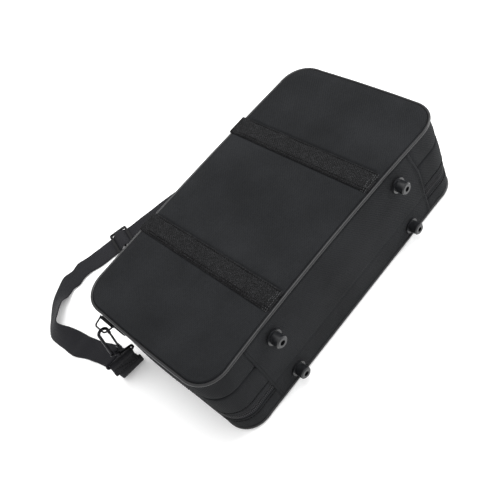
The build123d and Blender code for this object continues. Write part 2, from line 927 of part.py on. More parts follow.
def hook_frame():
    """The hook's back bar, bow and nose, its foot, and the ears and pin for the gate."""
    with BuildPart() as frame:
        with BuildLine(hook_plane) as route:
            Line((-hook_half, hook_foot + hook_wire), (-hook_half, arc_centre))
            ThreePointArc(
                (-hook_half, arc_centre),
                (0, arc_centre + hook_half),
                (hook_half, arc_centre),
            )
            Line((hook_half, arc_centre), (hook_half, gate_top + gate_play))
        with BuildSketch(Plane(origin=route.wire() @ 0, x_dir=hook_across, z_dir=hook_up)):
            RegularPolygon(hook_wire, cord_sides, rotation=flat_turn)
        sweep(path=route.wire())
        foot_base = hook_plane.from_local_coords((0, hook_foot, 0))
        with BuildSketch(Plane(origin=foot_base, x_dir=hook_across, z_dir=hook_up)):
            SlotCenterToCenter(2 * hook_half, 2 * ear_reach)
            RegularPolygon(swivel_pin_radius + swivel_pin_play, wire_sides, mode=Mode.SUBTRACT)
        extrude(amount=hook_wire)
        for side in (-1, 1):
            inner = side * (gate_knuckle_width / 2 + gate_ear_play)
            with BuildSketch(hook_plane.offset(inner)):
                with Locations((hook_half, gate_pin)):
                    Circle(gate_knuckle_radius)
                with Locations((hook_half, (gate_pin + hook_foot + hook_wire) / 2)):
                    Rectangle(2 * gate_knuckle_radius, gate_pin - hook_foot - hook_wire)
            extrude(amount=side * gate_ear_thickness)
        with BuildSketch(hook_plane.offset(-ear_reach)):
            with Locations((hook_half, gate_pin)):
                RegularPolygon(gate_pin_radius, wire_sides)
        extrude(amount=2 * ear_reach)
    return frame.part


def hook_gate():
    """The gate: a knuckle on the pin and a round bar up to the nose."""
    pin_centre = hook_plane.from_local_coords((hook_half, gate_pin, 0))
    with BuildPart() as gate:
        with BuildSketch(hook_plane.offset(-gate_knuckle_width / 2)):
            with Locations((hook_half, gate_pin)):
                Circle(gate_knuckle_radius)
        extrude(amount=gate_knuckle_width)
        with BuildSketch(Plane(origin=pin_centre, x_dir=hook_across, z_dir=hook_up)):
            RegularPolygon(gate_knuckle_width / 2, cord_sides)
        extrude(amount=gate_top - gate_pin)
        with BuildSketch(hook_plane.offset(-gate_knuckle_width / 2)):
            with Locations((hook_half, gate_pin)):
                Circle(gate_pin_radius + gate_pin_play)
        extrude(amount=gate_knuckle_width, mode=Mode.SUBTRACT)
    return gate.part


def swivel_eye():
    """The swivel barrel under the hook and the wide wire eye that carries the webbing."""
    with BuildPart() as eye:
        barrel_top = hook_plane.from_local_coords((0, swivel_top, 0))
        with BuildSketch(Plane(origin=barrel_top, x_dir=hook_across, z_dir=hook_up)):
            Circle(swivel_radius)
        extrude(amount=-swivel_height)
        pin_rise = swivel_gap + hook_wire + swivel_gap
        with BuildSketch(Plane(origin=barrel_top, x_dir=hook_across, z_dir=hook_up)):
            RegularPolygon(swivel_pin_radius, wire_sides)
        extrude(amount=pin_rise)
        pin_head = hook_plane.from_local_coords((0, swivel_top + pin_rise, 0))
        with BuildSketch(Plane(origin=pin_head, x_dir=hook_across, z_dir=hook_up)):
            RegularPolygon(swivel_head_radius, wire_sides)
        extrude(amount=swivel_head_height)
        with BuildLine(hook_plane) as route:
            FilletPolyline(
                (0, swivel_foot),
                (-eye_half, swivel_foot - eye_shoulder),
                (-eye_half, eye_bar),
                (eye_half, eye_bar),
                (eye_half, swivel_foot - eye_shoulder),
                (0, swivel_foot),
                radius=eye_corner,
            )
        with BuildSketch(Plane(origin=route.wire() @ 0, x_dir=(0, 1, 0), z_dir=route.wire() % 0)):
            RegularPolygon(eye_wire, wire_sides)
        sweep(path=route.wire())
    return eye.part


near_hook = hook_frame()
near_gate = hook_gate()
near_eye = swivel_eye()
for piece, name in ((near_hook, "hook_frame"), (near_gate, "hook_gate"), (near_eye, "swivel_eye")):
    save(piece, f"near_{name}")
    save(far_copy(piece), f"far_{name}")


# Webbing of the shoulder strap

def strap_loop():
    """The sewn end loop of the strap round the bar of the eye, hanging in line with the hook."""
    inner = eye_wire + strap_play
    loop_start = hook_plane.from_local_coords((-strap_width / 2, eye_bar, 0))
    with BuildPart() as loop:
        with BuildSketch(Plane(origin=loop_start, x_dir=(0, 1, 0), z_dir=hook_across)):
            Circle(inner + strap_thickness)
            with Locations((0, -strap_loop_drop / 2)):
                Rectangle(2 * strap_thickness, strap_loop_drop)
            Circle(inner, mode=Mode.SUBTRACT)
        extrude(amount=strap_width)
    return loop.part


near_loop = strap_loop()
save(near_loop, "near_strap_loop")
save(far_copy(near_loop), "far_strap_loop")

# The strap's route from the near loop to the adjuster, and on to the far loop: the middle of
# the webbing, from the near or far end of the case in x and from the hooks in y, then the
# heading and rise in degrees of the line across its width
near_route = [
    (-21.6, 0.8, 12.0, 0, -10),
    (-22.2, 4.5, 5.2, 0, -8),
    (-22.6, 13.0, 1.9, -1, -2),
    (-24.0, 30.0, 1.4, -4, 0),
    (-28.0, 51.0, 2.6, -10, 4),
    (-34.5, 72.0, 1.8, -14, -2),
    (-42.0, 93.0, 3.2, -14, 5),
    (-47.5, 113.0, 3.4, -10, 8),
    (-51.0, 132.0, 7.0, -6, 22),
    (-50.5, 149.0, 13.0, -14, 50),
    (-43.5, 165.0, 16.6, -42, 74),
    (-30.0, 177.5, 12.6, -58, 48),
    (-13.5, 186.5, 6.4, -72, 18),
    (5.0, 190.5, 2.6, -88, 4),
    (26.0, 189.0, 1.6, -98, 0),
    (48.0, 184.3, 2.4, -103, 0),
    (67.0, 178.6, 1.5, -106, 0),
]
far_route = [
    (-103.0, 123.2, 2.3, -107, 0),
    (-53.0, 104.6, 1.5, -116, 0),
    (-24.0, 87.0, 2.4, -128, 2),
    (-1.0, 65.6, 2.0, -142, 0),
    (14.5, 43.0, 2.2, -158, 0),
    (21.5, 24.0, 1.7, -172, 0),
    (22.6, 13.0, 1.9, -178, -2),
    (22.2, 4.5, 5.2, -180, -8),
    (21.6, 0.8, 12.0, -180, -10),
]
# The straight run between the adjuster and the far route: how far along it the webbing
# touches or leaves the floor, and its height there
floor_run_shares = (0.11, 0.39, 0.70)
floor_run_heights = (1.4, 2.2, 1.4)


slide_x = slide_place[0] - half_length
slide_y = slide_place[1] + hook_place


def routed(route, end):
    """The stations of a part of the route, placed from one end of the case."""
    return [(end + x, hook_place + y, z, turn, rise) for x, y, z, turn, rise in route]


def adjuster_stations():
    """The stations that lead the webbing over the middle bar of the adjuster."""
    heading = math.radians(slide_heading)
    under = slide_frame_length / 2
    climb = under - slide_bar
    crest = slide_bar
    stations = []
    for reach, height in (
        (-under, slide_flat),
        (-climb, slide_flat),
        (-crest, slide_hump),
        (crest, slide_hump),
        (climb, slide_flat),
        (under, slide_flat),
    ):
        x = slide_x + reach * math.cos(heading)
        y = slide_y + reach * math.sin(heading)
        stations.append((x, y, height, slide_heading - 90, 0))
    return stations


def floor_run(start, end):
    """The stations of the straight run between two stations."""
    stations = []
    for share, height in zip(floor_run_shares, floor_run_heights):
        x = start[0] + share * (end[0] - start[0])
        y = start[1] + share * (end[1] - start[1])
        stations.append((x, y, height, start[3], start[4]))
    return stations


loop_end = hook_plane.from_local_coords((0, eye_bar - strap_loop_drop - strap_loop_gap, 0))
strap_start = (loop_end.X, loop_end.Y, loop_end.Z, 0, -hook_lean)
strap_finish = (-loop_end.X, loop_end.Y, loop_end.Z, -180, -hook_lean)
over_slide = adjuster_stations()
far_stations = routed(far_route, half_length)
strap_stations = [
    strap_start,
    *routed(near_route, -half_length),
    *over_slide,
    *floor_run(over_slide[-1], far_stations[0]),
    *far_stations,
    strap_finish,
]
strap_middles = [Vector(x, y, z) for x, y, z, turn, rise in strap_stations]


def strap_section(station, along):
    """The plane across the webbing at one station, facing along the strap."""
    turn, rise = (math.radians(angle) for angle in station[3:])
    across = Vector(
        math.cos(turn) * math.cos(rise),
        math.sin(turn) * math.cos(rise),
        math.sin(rise),
    )
    return Plane(origin=station[:3], x_dir=across, z_dir=along)


strap_headings = [
    -hook_up,
    *((after - before).normalized() for before, after in zip(strap_middles, strap_middles[2:])),
    Vector(-hook_up.X, 0, hook_up.Z),
]
strap_sections = [strap_section(station, along) for station, along in zip(strap_stations, strap_headings)]

with BuildPart() as strap_webbing:
    for near_section, far_section in zip(strap_sections, strap_sections[1:]):
        with BuildSketch(near_section):
            Rectangle(strap_width, strap_thickness)
        with BuildSketch(far_section):
            Rectangle(strap_width, strap_thickness)
        loft(ruled=True)
save(strap_webbing.part, "strap_webbing")
strap_steps = [(after - before).length for before, after in zip(strap_middles, strap_middles[1:])]
print("strap route", round(sum(strap_steps)), "mm")

with BuildPart() as strap_adjuster:
    slide_plane = Plane(
        origin=(slide_x, slide_y, slide_lift),
        x_dir=(math.cos(math.radians(slide_heading)), math.sin(math.radians(slide_heading)), 0),
        z_dir=(0, 0, 1),
    )
    slot_length = (slide_frame_length - 3 * slide_bar) / 2
    with BuildSketch(slide_plane):
        RectangleRounded(slide_frame_length, slide_frame_width, slide_corner)
        with Locations((-(slot_length + slide_bar) / 2, 0), ((slot_length + slide_bar) / 2, 0)):
            Rectangle(slot_length, slide_frame_width - 2 * slide_side_bar, mode=Mode.SUBTRACT)
    extrude(amount=slide_frame_thickness)
    rims = strap_adjuster.faces().filter_by(Plane.XY)
    chamfer([edge for rim in rims for edge in rim.outer_wire().edges()], slide_edge_bevel)
save(strap_adjuster.part, "strap_adjuster")
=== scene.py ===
"""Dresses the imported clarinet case: cloth, webbing, zip, stitches, plush and hardware.

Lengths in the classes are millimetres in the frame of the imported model, and they are turned
to metres when a mesh is made. X runs along the case, -Y is the spine with the feet, +Y the
front with the handles and Z is up from the floor.
"""
from __future__ import annotations

import logging
import math
from dataclasses import dataclass, field
from enum import Enum
from typing import Iterable, Protocol, Sequence

import bmesh
import bpy
from mathutils import Matrix, Vector, noise

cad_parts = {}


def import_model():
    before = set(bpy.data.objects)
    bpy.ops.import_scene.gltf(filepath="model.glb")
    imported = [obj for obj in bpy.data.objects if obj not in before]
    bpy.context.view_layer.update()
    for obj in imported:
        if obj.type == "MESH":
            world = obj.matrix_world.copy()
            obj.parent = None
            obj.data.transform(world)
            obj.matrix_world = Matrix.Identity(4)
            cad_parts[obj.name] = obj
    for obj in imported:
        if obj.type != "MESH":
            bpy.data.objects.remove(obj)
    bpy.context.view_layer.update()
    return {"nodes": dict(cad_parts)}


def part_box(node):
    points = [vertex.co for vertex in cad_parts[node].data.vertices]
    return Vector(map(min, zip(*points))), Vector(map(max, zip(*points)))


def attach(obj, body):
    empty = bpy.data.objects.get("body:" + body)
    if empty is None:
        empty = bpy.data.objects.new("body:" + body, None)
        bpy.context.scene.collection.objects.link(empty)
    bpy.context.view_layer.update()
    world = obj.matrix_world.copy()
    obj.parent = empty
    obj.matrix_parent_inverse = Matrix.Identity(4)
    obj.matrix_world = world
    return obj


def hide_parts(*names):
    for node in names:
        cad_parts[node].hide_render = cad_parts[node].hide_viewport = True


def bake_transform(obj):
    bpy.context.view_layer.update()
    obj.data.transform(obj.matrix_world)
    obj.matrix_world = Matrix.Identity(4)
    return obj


LOG = logging.getLogger("clarinet_case")
MILLIMETRE = 0.001
CLOTH_UV = "cloth"
WELD_DISTANCE = 0.002 * MILLIMETRE
STITCH_PITCH = 3.1
STRAY_SEED = 7
BEAD_SEGMENTS, BEAD_RINGS = 8, 5
WEBBING_EDGE = 0.35
WHITE = (1.0, 1.0, 1.0, 1.0)

Flat = tuple[float, float]
Point = tuple[float, float, float]
Socket = bpy.types.NodeSocket
Tree = bpy.types.NodeTree


# Colour and node helpers

def linear(hex_colour: str) -> tuple[float, float, float, float]:
    """Turns an sRGB hex colour to linear RGBA.

    Args:
        hex_colour: six hex digits, with or without a leading hash.

    Returns:
        The linear colour with an alpha of one.
    """
    digits = hex_colour.lstrip("#")
    channels = [int(digits[place:place + 2], 16) / 255 for place in (0, 2, 4)]
    turned = [c / 12.92 if c <= 0.04045 else ((c + 0.055) / 1.055) ** 2.4 for c in channels]
    return (*turned, 1.0)


def add_node(tree: Tree, kind: str, settings: dict[str, object] | None = None,
             inputs: dict[str | int, object] | None = None) -> bpy.types.Node:
    """Adds one node with its settings, and sets or links its inputs.

    Args:
        tree: the node tree.
        kind: the node's type name.
        settings: attributes of the node itself.
        inputs: sockets by name or number; a socket as value is linked, the rest is set.

    Returns:
        The new node.
    """
    node = tree.nodes.new(kind)
    for name, value in (settings or {}).items():
        setattr(node, name, value)
    for name, value in (inputs or {}).items():
        if isinstance(value, Socket):
            tree.links.new(value, node.inputs[name])
        else:
            node.inputs[name].default_value = value
    return node


def arithmetic(tree: Tree, operation: str, *values: object) -> Socket:
    """Adds one Math node and returns its result."""
    return add_node(tree, "ShaderNodeMath", {"operation": operation}, dict(enumerate(values))).outputs[0]


def mixed(tree: Tree, share: object, first: object, second: object) -> Socket:
    """Mixes two colours by a share and returns the result."""
    node = add_node(tree, "ShaderNodeMix", {"data_type": "RGBA"}, {0: share, 6: first, 7: second})
    return node.outputs[2]


def speckle(tree: Tree, place: Socket, scale: float, detail: float) -> Socket:
    """Adds one Noise Texture over a coordinate and returns its value."""
    return add_node(tree, "ShaderNodeTexNoise", inputs={
        "Vector": place, "Scale": scale, "Detail": detail}).outputs[0]


class Weave(Enum):
    """How the threads of a cloth cross."""

    PLAIN = "plain"
    RIBBED = "ribbed"


@dataclass(frozen=True)
class Finish:
    """A material by its real name, with the colours and gloss that the eye meets."""

    name: str
    slot: str
    dark: str
    light: str
    roughness: float
    specular: float = 0.5

    def start(self) -> tuple[bpy.types.Material, Tree, bpy.types.Node]:
        """Makes the empty material with its shader on the output.

        Returns:
            The material, its node tree and its shader node.
        """
        material = bpy.data.materials.new(self.name)
        material.use_nodes = True
        tree = material.node_tree
        tree.nodes.clear()
        shader = add_node(tree, "ShaderNodeBsdfPrincipled", inputs={
            "Base Color": linear(self.dark),
            "Roughness": self.roughness,
            "Specular IOR Level": self.specular,
        })
        add_node(tree, "ShaderNodeOutputMaterial", inputs={0: shader.outputs[0]})
        return material, tree, shader

    def material(self) -> bpy.types.Material:
        """The material of this finish, made once."""
        found = bpy.data.materials.get(self.name)
        return found if found else self.build()

    def build(self) -> bpy.types.Material:
        """Makes the material."""
        return self.start()[0]

    @staticmethod
    def surface(tree: Tree, shader: bpy.types.Node, colour: Socket, height: Socket, strength: float,
                relief: float) -> None:
        """Gives the shader its colour and its relief.

        Args:
            tree: the material's node tree.
            shader: the shader node.
            colour: the colour's socket.
            height: the relief's socket.
            strength: how strongly the relief turns the light.
            relief: its depth in millimetres.
        """
        bump = add_node(tree, "ShaderNodeBump", inputs={
            "Height": height, "Strength": strength, "Distance": relief * MILLIMETRE})
        tree.links.new(colour, shader.inputs["Base Color"])
        tree.links.new(bump.outputs[0], shader.inputs["Normal"])


@dataclass(frozen=True)
class WovenCloth(Finish):
    """Cloth woven from spun or filament yarn: each crossing catches a small light of its own, painted into
    the colour as a lighter crown.
    """

    weave: Weave = Weave.PLAIN
    pitch_along: float = 1.0
    pitch_across: float = 1.0
    relief: float = 0.12
    fuzz: float = 0.25
    painted_glint: float = 0.0
    painted_glint_colour: str = "#6a6b6e"
    painted_glint_above: float = 0.58
    yarn_scale: float = 3.1
    jitter: float = 0.9
    jitter_scale: float = 0.9
    patch_scale: float = 14.0
    bump: float = 0.8

    def build(self) -> bpy.types.Material:
        """Makes the material from the piece's own cloth coordinates, which are in metres.

        Returns:
            The material.
        """
        material, tree, shader = self.start()
        shader.inputs["Sheen Weight"].default_value = self.fuzz
        shader.inputs["Sheen Roughness"].default_value = 0.5
        place = add_node(tree, "ShaderNodeUVMap", {"uv_map": CLOTH_UV}).outputs[0]
        parts = add_node(tree, "ShaderNodeSeparateXYZ", inputs={0: place})
        along = arithmetic(tree, "DIVIDE", parts.outputs[0], self.pitch_along * MILLIMETRE)
        across = arithmetic(tree, "DIVIDE", parts.outputs[1], self.pitch_across * MILLIMETRE)
        cells = add_node(tree, "ShaderNodeCombineXYZ", inputs={0: along, 1: across, 2: 0.5}).outputs[0]
        jitter = speckle(tree, cells, self.jitter_scale, 2.0)
        hump_along = self.hump(tree, along)
        hump_across = self.hump(tree, across)
        if self.weave is Weave.PLAIN:
            over = add_node(tree, "ShaderNodeTexChecker", inputs={"Vector": cells, "Scale": 1.0}).outputs[1]
            low = arithmetic(tree, "MULTIPLY", hump_across, arithmetic(tree, "SUBTRACT", 1.0, over))
            crossing = arithmetic(tree, "ADD", arithmetic(tree, "MULTIPLY", hump_along, over), low)
        else:
            crossing = arithmetic(tree, "ADD", arithmetic(tree, "MULTIPLY", hump_along, 0.8),
                                  arithmetic(tree, "MULTIPLY", hump_across, 0.2))
        height = arithmetic(tree, "ADD", crossing, arithmetic(tree, "MULTIPLY", jitter, self.jitter))
        patches = speckle(tree, add_node(tree, "ShaderNodeTexCoord").outputs["Object"], self.patch_scale, 3.0)
        # Painted light: the weave's relief also sets the colour, so thread crowns are painted lighter as
        # highlight and the hollows between them darker as shade; random patches vary the tone.
        shade = arithmetic(tree, "MULTIPLY", height, arithmetic(tree, "ADD", patches, 0.1))
        colour = mixed(tree, shade, linear(self.dark), linear(self.light))
        # Painted glints: pale spots are painted on yarn crossings where a noise passes a threshold, for the
        # light that single yarns catch.
        if self.painted_glint:
            yarn = speckle(tree, cells, self.yarn_scale, 1.0)
            painted_glint_mask = arithmetic(tree, "GREATER_THAN", yarn, self.painted_glint_above)
            painted_glint_spots = arithmetic(tree, "MULTIPLY", painted_glint_mask, crossing)
            colour = mixed(tree, arithmetic(tree, "MULTIPLY", painted_glint_spots, self.painted_glint), colour, linear(self.painted_glint_colour))
        self.surface(tree, shader, colour, height, self.bump, self.relief)
        return material

    @staticmethod
    def hump(tree: Tree, threads: Socket) -> Socket:
        """One rounded hump for each thread, from a coordinate counted in threads."""
        turn = arithmetic(tree, "MULTIPLY", threads, math.pi)
        return arithmetic(tree, "ABSOLUTE", arithmetic(tree, "SINE", turn))


@dataclass(frozen=True)
class Pile(Finish):
    """Short plush or cut foam: a matt, speckled surface that lightens at grazing angles."""

    grain: float = 1.2
    relief: float = 0.4
    fuzz: float = 0.6
    brush_scale: float = 22.0
    contrast: float = 2.2
    bump: float = 0.7

    def build(self) -> bpy.types.Material:
        """Makes the material from object coordinates.

        Returns:
            The material.
        """
        material, tree, shader = self.start()
        shader.inputs["Sheen Weight"].default_value = self.fuzz
        shader.inputs["Sheen Roughness"].default_value = 0.45
        place = add_node(tree, "ShaderNodeTexCoord").outputs["Object"]
        tufts = speckle(tree, place, 1 / (self.grain * MILLIMETRE), 2.0)
        brushed = speckle(tree, place, self.brush_scale, 2.0)
        shade = arithmetic(tree, "MULTIPLY", arithmetic(tree, "MULTIPLY", tufts, brushed), self.contrast)
        colour = mixed(tree, shade, linear(self.dark), linear(self.light))
        self.surface(tree, shader, colour, tufts, self.bump, self.relief)
        return material


@dataclass(frozen=True)
class Solid(Finish):
    """Plastic or metal: smooth, with the faint unevenness of how it was made; its colour is painted lighter
    on sharp outer edges as highlight and darker in hollows as shade.
    """

    metallic: float = 0.0
    coat: float = 0.0
    grain: float = 2.0
    relief: float = 0.02
    smoother: float = 0.06
    rougher: float = 0.08
    bump: float = 0.5

    def build(self) -> bpy.types.Material:
        """Makes the material from object coordinates.

        Returns:
            The material.
        """
        material, tree, shader = self.start()
        shader.inputs["Metallic"].default_value = self.metallic
        shader.inputs["Coat Weight"].default_value = self.coat
        shader.inputs["Coat Roughness"].default_value = 0.15
        place = add_node(tree, "ShaderNodeTexCoord").outputs["Object"]
        skin = speckle(tree, place, 1 / (self.grain * MILLIMETRE), 3.0)
        # Painted light: sharp outer edges are painted lighter as highlight and hollows darker as shade,
        # broken up by the grain.
        edges = add_node(tree, "ShaderNodeNewGeometry").outputs["Pointiness"]
        painted_edge_light_and_hollow_shade = arithmetic(tree, "MULTIPLY", edges, skin)
        colour = mixed(tree, painted_edge_light_and_hollow_shade, linear(self.dark), linear(self.light))
        gloss = add_node(tree, "ShaderNodeMapRange", inputs={
            "Value": skin, "To Min": self.roughness - self.smoother,
            "To Max": self.roughness + self.rougher}).outputs[0]
        tree.links.new(gloss, shader.inputs["Roughness"])
        self.surface(tree, shader, colour, skin, self.bump, self.relief)
        return material


# Polyester oxford, plain weave of doubled yarn; real threads lie 0.5 mm apart and are drawn
# 1.4 mm apart, so that the weave shows. The eye meets a dull black with a fine grid.
OXFORD = WovenCloth("polyester_oxford_plain_weave", "black_oxford_cloth", "#08090a", "#242527",
                    0.9, 0.1, pitch_along=1.4, pitch_across=1.4, relief=0.35, fuzz=0.01)
# Polypropylene webbing, woven flat from thick yarn; darker than the cloth, with painted glints on yarns.
WEBBING = WovenCloth("polypropylene_webbing_flat_woven", "black_webbing", "#040405", "#101011",
                     0.8, 0.12, pitch_along=1.9, pitch_across=1.3, relief=0.5, fuzz=0.005, painted_glint=0.26)
# Polyester strap webbing, woven finer and smoother than the bands, with faint painted glints on yarns.
STRAP_WEBBING = WovenCloth("polyester_strap_webbing", "black_webbing", "#08080a", "#1e1e22",
                           0.75, 0.18, pitch_along=1.6, pitch_across=1.1, relief=0.3, fuzz=0.01, painted_glint=0.06)
# Zip tape, ribbed across by the weft; reads as fine upright ridges.
ZIP_TAPE = WovenCloth("polyester_zip_tape_ribbed", "zip_tape_cloth", "#0c0c0e", "#2c2d31",
                      0.8, 0.15, Weave.RIBBED, pitch_along=1.9, pitch_across=0.9, relief=0.5, fuzz=0.02)
# Vinyl piping, extruded over a cord; smooth, with one long narrow light on its crown.
PIPING_VINYL = Solid("vinyl_piping_extruded", "piping_vinyl", "#0b0b0c", "#1c1c1f", 0.34, 0.44,
                     grain=3.0)
# Nylon monofilament of the zip's coil, drawn and pressed; small hard glints.
COIL_NYLON = Solid("nylon_coil_monofilament", "zip_coil_nylon", "#121214", "#28282b", 0.45, 0.3)
# Zinc pull and slider, die-cast and enamelled black; smooth gloss, with sharp edges painted grey as
# highlight.
ENAMELLED_ZINC = Solid("zinc_die_cast_black_enamel", "black_zip_metal", "#0d0d0e", "#2c2c2f", 0.28, 0.5,
                       coat=0.3)
# Steel wire with black nickel plate; dark mirror, with grey painted in patches along sharp edges as
# highlight.
BLACK_NICKEL = Solid("steel_wire_black_nickel_plate", "black_plated_wire", "#161618", "#333337", 0.32, 0.5,
                     metallic=1.0)
# Feet moulded in polypropylene; a dark plastic gloss with broad grey lights.
FOOT_PLASTIC = Solid("polypropylene_moulded_foot", "foot_plastic", "#0c0d0e", "#242529", 0.3, 0.42, coat=0.1,
                     grain=4.0)
# Screws and washers, zinc plated; pale and finely brushed.
ZINC_STEEL = Solid("steel_zinc_plated", "zinc_steel", "#8d8f92", "#b9bbbe", 0.4, 0.5, metallic=1.0)
# Acetal adjuster, moulded with a satin skin.
SATIN_PLASTIC = Solid("acetal_moulded_satin", "adjuster_plastic", "#0b0b0c", "#1b1b1d", 0.62, 0.22)
# Bonded polyester thread; darker than the cloth under it.
THREAD = Solid("polyester_sewing_thread", "black_webbing", "#030304", "#0a0a0b", 0.8, 0.12, grain=0.6)
# Webbing bunched at a sewn end; the folded yarns stand up and catch the light, painted as pale ribs: a
# painted highlight on the same black yarn.
PAINTED_HIGHLIGHT_YARN = Solid("polypropylene_yarn_bunched_painted_highlight", "black_webbing", "#232425", "#5c5d5f", 0.5, 0.4, grain=0.8)
# Plush of the insert and lining, short pile; deep black that lightens where it turns away.
PLUSH = Pile("plush_short_pile", "insert_plush", "#0a0a0d", "#24242b", 0.95, 0.15, fuzz=0.35)
LINING = Pile("plush_lining_short_pile", "lining_plush", "#0c0c0f", "#282831", 0.95, 0.15, grain=0.9,
              fuzz=0.35)
# Closed-cell foam of the shells, taken as bound in black cloth; one matt black stands for both.
FOAM = Pile("foam_closed_cell_bound", "shell_foam", "#101012", "#242428", 0.9, 0.2, grain=1.6, relief=0.2,
            fuzz=0.05)


# Mesh helpers

def linked(name: str, data: bpy.types.ID) -> bpy.types.Object:
    """Makes an object at the origin and links it to the scene.

    Args:
        name: its name.
        data: its mesh, curve, camera or light.

    Returns:
        The new object.
    """
    piece = bpy.data.objects.new(name, data)
    bpy.context.scene.collection.objects.link(piece)
    return piece


def finished(name: str, vertices: Sequence[Vector], faces: Sequence[Sequence[int]],
             uvs: Sequence[Flat], finish: Finish) -> bpy.types.Object:
    """Makes an object at the origin from millimetre points, with cloth coordinates and a finish.

    Args:
        name: the object's name.
        vertices: points in millimetres.
        faces: vertex numbers of each face.
        uvs: cloth coordinates in millimetres, one for each vertex.
        finish: the piece's finish.

    Returns:
        The new object.
    """
    mesh = bpy.data.meshes.new(name)
    mesh.from_pydata([point * MILLIMETRE for point in vertices], [], faces)
    layer = mesh.uv_layers.new(name=CLOTH_UV)
    for loop in mesh.loops:
        u, v = uvs[loop.vertex_index]
        layer.data[loop.index].uv = (u * MILLIMETRE, v * MILLIMETRE)
    mesh.polygons.foreach_set("use_smooth", [True] * len(mesh.polygons))
    return outward(coated(linked(name, mesh), finish))


def coated(piece: bpy.types.Object, finish: Finish) -> bpy.types.Object:
    """Gives a piece one finish all over.

    Args:
        piece: the piece.
        finish: its finish.

    Returns:
        The piece.
    """
    piece.data.materials.clear()
    piece.data.materials.append(finish.material())
    return piece


def outward(piece: bpy.types.Object) -> bpy.types.Object:
    """Turns the faces of a closed piece outwards.

    Args:
        piece: the piece.

    Returns:
        The piece.
    """
    work = bmesh.new()
    work.from_mesh(piece.data)
    bmesh.ops.recalc_face_normals(work, faces=work.faces)
    work.to_mesh(piece.data)
    work.free()
    return piece


def swept(name: str, rings: Sequence[Sequence[Vector]], finish: Finish, closed: bool = False,
          start: float = 0.0) -> bpy.types.Object:
    """Skins a row of closed rings with as many points each into one closed piece.

    Args:
        name: the object's name.
        rings: the rings, in millimetres.
        finish: the piece's finish.
        closed: whether the last ring meets the first.
        start: where the cloth coordinate along the piece begins.

    Returns:
        The new object.
    """
    count = len(rings[0])
    rows = [list(ring) + [ring[0]] for ring in rings]
    if closed:
        rows.append(rows[0])
    vertices: list[Vector] = []
    uvs: list[Flat] = []
    along = start
    for number, row in enumerate(rows):
        if number:
            along += (sum(row, Vector()) / len(row) - sum(rows[number - 1], Vector()) / len(row)).length
        across = 0.0
        for place, point in enumerate(row):
            across += (point - row[place - 1]).length if place else 0.0
            vertices.append(point)
            uvs.append((along, across))
    width = count + 1
    faces = [
        (r * width + c, (r + 1) * width + c, (r + 1) * width + c + 1, r * width + c + 1)
        for r in range(len(rows) - 1) for c in range(count)
    ]
    if not closed:
        faces.append(tuple(range(count)))
        faces.append(tuple((len(rows) - 1) * width + c for c in range(count)))
    return welded(finished(name, vertices, faces, uvs, finish))


def welded(piece: bpy.types.Object) -> bpy.types.Object:
    """Joins the doubled points of a piece's seams and turns its faces outwards.

    Args:
        piece: the piece.

    Returns:
        The piece.
    """
    work = bmesh.new()
    work.from_mesh(piece.data)
    bmesh.ops.remove_doubles(work, verts=work.verts, dist=WELD_DISTANCE)
    bmesh.ops.recalc_face_normals(work, faces=work.faces)
    work.to_mesh(piece.data)
    work.free()
    return piece


def joined(name: str, pieces: Sequence[bpy.types.Object]) -> bpy.types.Object:
    """Joins pieces of one finish into one object.

    Args:
        name: the joined object's name.
        pieces: the objects, which are used up.

    Returns:
        The first object, holding all of them.
    """
    first = pieces[0]
    work = bmesh.new()
    for piece in pieces:
        work.from_mesh(piece.data)
    work.to_mesh(first.data)
    work.free()
    for piece in pieces[1:]:
        bpy.data.objects.remove(piece)
    first.name = name
    first.data.name = name
    return first


def dress(node: bpy.types.Object, finish: Finish) -> bpy.types.Object:
    """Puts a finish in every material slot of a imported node.

    Args:
        node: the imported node's object.
        finish: its finish.

    Returns:
        The node.
    """
    if not node.material_slots:
        node.data.materials.append(finish.material())
    for slot in node.material_slots:
        slot.material = finish.material()
    return node


def backed(vertices: list[Vector], uvs: list[Flat], columns: int,
           height: float) -> list[tuple[int, ...]]:
    """Closes a grid of points with straight sides and a flat back.

    Args:
        vertices: the grid's points row by row, to which the back's points are added.
        uvs: their cloth coordinates, which grow alike.
        columns: the number of points in a row.
        height: the back's height.

    Returns:
        The faces of the grid, the sides and the back.
    """
    rows = len(vertices) // columns
    faces: list[tuple[int, ...]] = [
        (j * columns + i, j * columns + i + 1, (j + 1) * columns + i + 1, (j + 1) * columns + i)
        for j in range(rows - 1) for i in range(columns - 1)
    ]
    rim = list(range(columns)) + [j * columns + columns - 1 for j in range(1, rows)]
    rim += [(rows - 1) * columns + i for i in range(columns - 2, -1, -1)]
    rim += [j * columns for j in range(rows - 2, 0, -1)]
    first, count = len(vertices), len(rim)
    for number in rim:
        vertices.append(Vector((vertices[number].x, vertices[number].y, height)))
        uvs.append(uvs[number])
    faces += [(rim[k], rim[(k + 1) % count], first + (k + 1) % count, first + k) for k in range(count)]
    faces.append(tuple(range(first, first + count)))
    return faces


def sewn_run(turns: Sequence[Vector], pitch: float) -> list[Vector]:
    """Runs a seam straight from turn to turn.

    Args:
        turns: where the seam begins, turns and ends.
        pitch: about how far apart the points are.

    Returns:
        The points of the seam.
    """
    run = [turns[0]]
    for before, after in zip(turns, turns[1:]):
        count = max(1, round((after - before).length / pitch))
        run += [before.lerp(after, k / count) for k in range(1, count + 1)]
    return run


def gathered(count: int) -> list[float]:
    """Values from -1 to 1 that lie closer together towards both ends."""
    return [math.sin(math.pi / 2 * (2 * k / count - 1)) for k in range(count + 1)]


def ease(low: float, high: float, value: float) -> float:
    """Rises smoothly from zero at low to one at high."""
    share = min(max((value - low) / (high - low), 0.0), 1.0)
    return share * share * (3 - 2 * share)


def ripple(x: float, y: float, z: float, size: float) -> float:
    """Smooth unevenness from -1 to 1, with lumps of about the given size."""
    return noise.noise(Vector((x / size + 3.7, y / size - 1.3, z / size + 8.1)))


